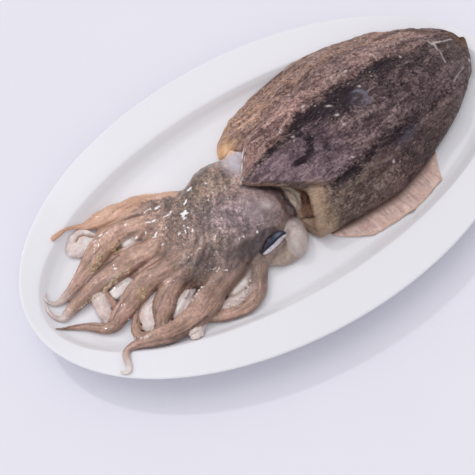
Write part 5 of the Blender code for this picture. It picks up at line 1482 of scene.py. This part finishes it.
    # Thin brown lines of painted shade between and along the arms.
    thin = np.maximum.reduce([
        line(((-171, 9.5), (-160, 11.6), (-148, 14.6), (-138, 16.6), (-126, 18.0)), 0.9, U, V),
        0.9 * line(((-176, 12.6), (-168, 12.4), (-160, 15.2)), 0.6, U, V),
        0.8 * line(((-150, 22), (-140, 28), (-132, 31)), 0.8, U, V),
        0.9 * line(((-124.5, 21.5), (-121, 24.5), (-119.8, 27.5)), 1.0, U, V),
        0.9 * line(((-113.6, 24.5), (-111, 21), (-107, 19.4)), 1.1, U, V),
        0.9 * line(((-189, -5.4), (-178, -8.6), (-170, -12.6), (-162, -19.8), (-154, -20.0), (-146, -14.5), (-138, -11.5)), 0.7, U, V),
        0.8 * line(((-150, -18.5), (-143, -14), (-134, -10)), 0.8, U, V),
        1.0 * line(((-133, -20.5), (-139, -26), (-143, -31)), 0.8, U, V),
        0.8 * line(((-142, -36), (-138, -40), (-131, -40.4)), 0.8, U, V),
        0.8 * line(((-158, -44.4), (-150, -44.8), (-140, -49), (-130, -53.5), (-118, -55.2), (-104, -54.5)), 1.0, U, V),
        0.9 * line(((-128, -42.4), (-121, -39.8), (-112, -38.8)), 0.8, U, V),
        0.9 * line(((-161, -46.6), (-163.2, -51), (-163.8, -57)), 0.6, U, V),
        0.6 * line(((-120, 41.0), (-108, 40.0), (-96, 37.5), (-84, 34)), 0.9, U, V),
        1.0 * line(((-117.4, -34.0), (-113.6, -36.8), (-110.0, -41.0)), 0.9, U, V),
        0.6 * line(((-104, 46.5), (-94, 45.5), (-84, 42)), 0.9, U, V),
        0.6 * line(((-114, 49.5), (-104, 49.6), (-96, 48.8)), 0.7, U, V),
        0.7 * line(((-98, 4.0), (-94.2, 7.5), (-95.0, 12.5), (-99, 15.5)), 0.6, U, V),
        0.6 * line(((-101, 6.0), (-97.6, 8.5), (-98.4, 12)), 0.5, U, V),
        0.6 * line(((-96, 1.5), (-90.8, 6), (-91.4, 13), (-95, 18.5)), 0.6, U, V),
        0.7 * line(((-130, -33), (-122, -27), (-114, -22.5), (-104, -19)), 0.9, U, V),
        0.6 * line(((-120, -3), (-110, -4), (-100, -3), (-92, 0)), 0.8, U, V),
    ])
    # Brown shadows where arms press together.
    dark += 0.50 * blob(U, V, -140, 15.5, 22, 2.2, -1) + 0.3 * blob(U, V, -128, -16, 6, 4, 0) + 0.45 * blob(U, V, -101, -26, 8, 6, 0)
    dark += 0.30 * blob(U, V, -125, -56, 22, 2.2, 2) + 0.85 * thin
    # Painted shade along the edge of the round of the head next to the neck, where it curves down.
    dark += 0.55 * line(((-27, 6), (-20, 0), (-14.5, -8), (-14.5, -22), (-17, -32)), 5.0, X, Y)
    dark += 0.45 * blob(X, Y, -48, 33, 14, 5, 14) + 0.35 * blob(X, Y, -62, 5, 7, 4, 20) + 0.25 * blob(X, Y, -44, 12, 9, 5, 0)
    # Painted shade in the furrows between the bases of the arms.
    dark += 0.45 * blob(X, Y, -91, -23, 14, 6, 28) + 0.40 * blob(X, Y, -71, -31, 8, 8) + 0.25 * blob(X, Y, -63, -26, 10, 7) + 0.3 * blob(X, Y, -97, -32, 9, 5, 10)
    dark += 0.30 * blob(X, Y, -60, -34, 8, 8, 0) + 0.25 * blob(X, Y, -75, 5, 6, 8, 0)
    dark *= (1 - pale)
    # The tone is partly painted shade: darker on the near side of the head and on the near face below the eye.
    # Elsewhere it makes single places lighter or darker.
    tone = 0.97 + 0.22 * blob(X, Y, -38, 4, 16, 12) + 0.12 * smooth(-4, 14, Y) * smooth(-66, -80, X) + 0.08 * blob(X, Y, -84, 12, 12, 8) - 0.10 * blob(X, Y, -62, 8, 10, 14)
    tone -= 0.26 * smooth(-12, -38, Y) * smooth(-112, -88, X) * (1 - 0.7 * smooth(-52, -58, Y) * smooth(-66, -72, X)) + 0.10 * smooth(-38, -50, Y) * smooth(-84, -74, X)
    tone -= 0.22 * smooth(-50, -60, Y) * smooth(-70, -62, X) * smooth(-24, -40, X)
    tone -= 0.13 * blob(U, V, -100, -3, 12, 10) + 0.09 * blob(U, V, -122, -12, 14, 8) + 0.09 * blob(U, V, -146, 4, 12, 5)
    tone += 0.12 * blob(U, V, -138, -50, 12, 6) + 0.18 * blob(U, V, -62, -59, 10, 7) + 0.12 * blob(U, V, -74, -58, 8, 5)
    tone -= 0.12 * blob(X, Y, -60, 20, 8, 8) + 0.10 * blob(X, Y, -115, -40, 14, 12)
    tone += 0.20 * blob(U, V, -161, -50, 8, 8) + 0.16 * blob(U, V, -158, -6, 8, 8)
    tone -= 0.10 * blob(U, V, -118, 30, 8, 5) + 0.10 * blob(X, Y, -98, -8, 10, 8)
    mauve = np.clip(1.1 * blob(X, Y, -38, -14, 24, 22) + 0.5 * blob(X, Y, -62, 0, 14, 12), 0, 1)
    olive = np.clip(0.9 * blob(X, Y, -50, 27, 22, 12) + 0.5 * blob(X, Y, -75, 16, 16, 12) + 0.6 * blob(X, Y, -86, -20, 18, 7, 20)
                    + 0.4 * blob(X, Y, -55, -48, 16, 9), 0, 1)
    dots = np.clip(0.9 * blob(X, Y, -60, 10, 20, 16) + 0.8 * blob(X, Y, -84, 4, 16, 18) + 1.0 * blob(X, Y, -82, -26, 13, 11) + 0.5 * blob(X, Y, -66, -18, 9, 9), 0, 1)
    gold = 0.6 * blob(U, V, -125, 23.5, 4.5, 4.0) + 0.6 * blob(U, V, -141, 20.5, 7, 3.0, 10) + 0.6 * blob(U, V, -141, 2.5, 8, 2.4, 0)
    gold += 0.65 * blob(U, V, -129, -15, 4.5, 4.5)
    funnel = smooth(2.2, 0.3, ellipsoid(x, y, z, (-21.0, -41.5, 15.5), (8.4, 15.0, 8.2), -28.0)) * smooth(-31, -36, Y) * smooth(-37, -32, X - 0.2 * (Y + 45))
    pale = np.maximum(pale, 0.44 * funnel)
    pale = np.maximum(pale, 0.24 * ridge)
    pale = np.maximum(pale, 0.9 * blob(U, V, -116, 22.5, 4.6, 2.8))
    pale = np.maximum(pale, 0.40 * blob(X, Y, -25.5, -13.5, 3.4, 4.0, 20))
    pale = np.maximum(pale, 0.25 * blob(U, V, -139, 6.0, 11, 2.0, 2))
    # The thin ends of the arms are lighter.
    tip = smooth(0.78, 0.96, share) * smooth(1.0, 0.0, best)
    pale = np.maximum(pale, 0.90 * tip * np.isin(which, [index("front_arm"), index("upper_arm"), index("left_arm")]))
    milk = np.clip(1.15 * blob(X, Y, -20, 26, 10.0, 15, 30) * smooth(-36, -27, X), 0, 1) * 0.9
    milk = np.maximum(milk, smooth(-22, -17, x) * smooth(14, 20, y))
    amber = smooth(32, 38, Y) * smooth(-30, -24, X)
    inner_at = np.where(Y > -20, -2.0, -2.0 + 0.52 * (Y + 20))
    dome_at = table(Y, ((-40, -16.5), (-33, -14.4), (-23, -11.6), (-10.5, -10.0), (0, -10.0)))
    beige = smooth(dome_at + 0.2, dome_at + 1.8, X) * smooth(inner_at + 0.8, inner_at - 0.8, X) * smooth(-4, -9, Y)
    beige = np.maximum(beige, 0.45 * smooth(2.5, 0.5, ellipsoid(x, y, z, (-36.0, -47.5, 12.5), (12.5, 6.6, 4.6), -20.0)) * (1 - funnel) * smooth(-46, -50, Y))
    beige = np.maximum(beige, 0.30 * blob(X, Y, -42, -50, 13, 4.5, 8) * (1 - funnel))
    # Brown inside the hollow beside the neck, partly painted shade of the recess.
    inside = smooth(inner_at - 0.8, inner_at + 0.8, X) * smooth(10, 0, Y)
    clip01 = lambda v: np.clip(v, 0, 1)
    # Painted shade: the arms are darker down their sides than along their tops.
    edge = smooth(0.75, 1.45, np.abs(turn)) * 0.65
    attrs = {"along": along, "turn": turn, "which": which * 1.7, "arm": clip01(arm), "edge": edge,
             "tan": tan * smooth(1.5, 0.2, best) * smooth(-62, -72, x), "pale": clip01(pale), "dark": clip01(dark),
             "mauve": mauve, "olive": olive, "dots": dots, "gold": clip01(gold), "milk": clip01(milk), "amber": clip01(amber),
             "beige": clip01(beige), "inside": inside, "line": clip01(crease), "gleam": clip01(gleam), "rough": clip01(1 - 0.75 * dome - 0.5 * pale - 0.5 * smooth(-40, -46, Y)), "tone": tone}
    obj = make_object("head_and_arms", pos, quads, attrs)
    obj.data.materials.append(arm_material())
    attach(obj, "root")
    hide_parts("cuttlefish")
    print("head triangles", 2 * len(quads))
    return lines, (D, lo, h)


# ---------------------------------------------------------------------------
# floor, light, camera
# ---------------------------------------------------------------------------
def build_stage():
    size = 3000.0
    pts = [(-size, -size, -0.02), (size, -size, -0.02), (size, size, -0.02), (-size, size, -0.02)]
    floor = make_object("floor", pts, [(0, 1, 2, 3)], smooth_shade=False)
    floor.data.materials.append(plain_material("pale_table", rgb(232, 231, 241), 0.9))

    def lamp(kind, name, toward, power, colour, angle):
        light = bpy.data.lights.new(name, kind)
        light.energy = power
        light.color = colour
        light.angle = math.radians(angle)
        obj = bpy.data.objects.new(name, light)
        bpy.context.scene.collection.objects.link(obj)
        from mathutils import Vector
        obj.rotation_euler = (-Vector(toward)).to_track_quat("-Z", "Y").to_euler()
        return obj

    lamp("SUN", "key", (-0.16, 0.40, 0.90), 0.50, (1.0, 0.99, 0.975), 50.0)
    lamp("SUN", "glint", (-0.10, 0.66, 0.74), 0.38, (1.0, 0.99, 0.98), 3.2)
    lamp("SUN", "fill", (-0.45, -0.55, 0.70), 0.46, (1.0, 1.0, 1.0), 60.0)
    world = bpy.data.worlds.new("studio")
    bpy.context.scene.world = world
    world.use_nodes = True
    # The studio is a little darker on the near side.
    tree = world.node_tree
    back = tree.nodes["Background"]
    back.inputs["Color"].default_value = (0.975, 0.975, 1.0, 1.0)
    across = tree.nodes.new("ShaderNodeVectorMath")
    across.operation = "DOT_PRODUCT"
    across.inputs[1].default_value = (0.50, 0.80, 0.33)
    tree.links.new(tree.nodes.new("ShaderNodeTexCoord").outputs["Generated"], across.inputs[0])
    level = tree.nodes.new("ShaderNodeMapRange")
    level.inputs["From Min"].default_value, level.inputs["From Max"].default_value = -0.8, 0.9
    level.inputs["To Min"].default_value, level.inputs["To Max"].default_value = 0.52, 0.76
    tree.links.new(across.outputs["Value"], level.inputs["Value"])
    tree.links.new(level.outputs["Result"], back.inputs["Strength"])


def build_camera():
    elevation, azimuth, distance = math.radians(60.0), math.radians(36.2), 600.0
    target = np.array([-48.2, -11.2, 0.0])
    right = np.array([math.cos(azimuth), -math.sin(azimuth), 0.0])
    ahead = np.array([math.sin(azimuth), math.cos(azimuth), 0.0]) * math.cos(elevation) - np.array([0, 0, math.sin(elevation)])
    up = np.cross(right, ahead)
    place = (target - ahead * distance) * MM
    data = bpy.data.cameras.new("camera")
    data.sensor_width = 36.0
    data.lens = 855.0 / 475.0 * 36.0
    data.clip_start, data.clip_end = 0.01, 20.0
    cam = bpy.data.objects.new("camera", data)
    bpy.context.scene.collection.objects.link(cam)
    rot = Matrix(((right[0], up[0], -ahead[0], place[0]), (right[1], up[1], -ahead[1], place[1]),
                  (right[2], up[2], -ahead[2], place[2]), (0, 0, 0, 1)))
    cam.matrix_world = rot
    bpy.context.scene.camera = cam


bpy.context.scene.view_settings.view_transform = "Standard"
build_camera()
build_stage()
build_platter()
build_mantle()
fin_flesh = fin_material()
build_fin("near_fin", -1, 30.0, 134.0, 15.0, 5.0, 0.86, 9.0, fin_flesh)
lines, field = build_head()
build_eye(field)
build_suckers(lines, field)
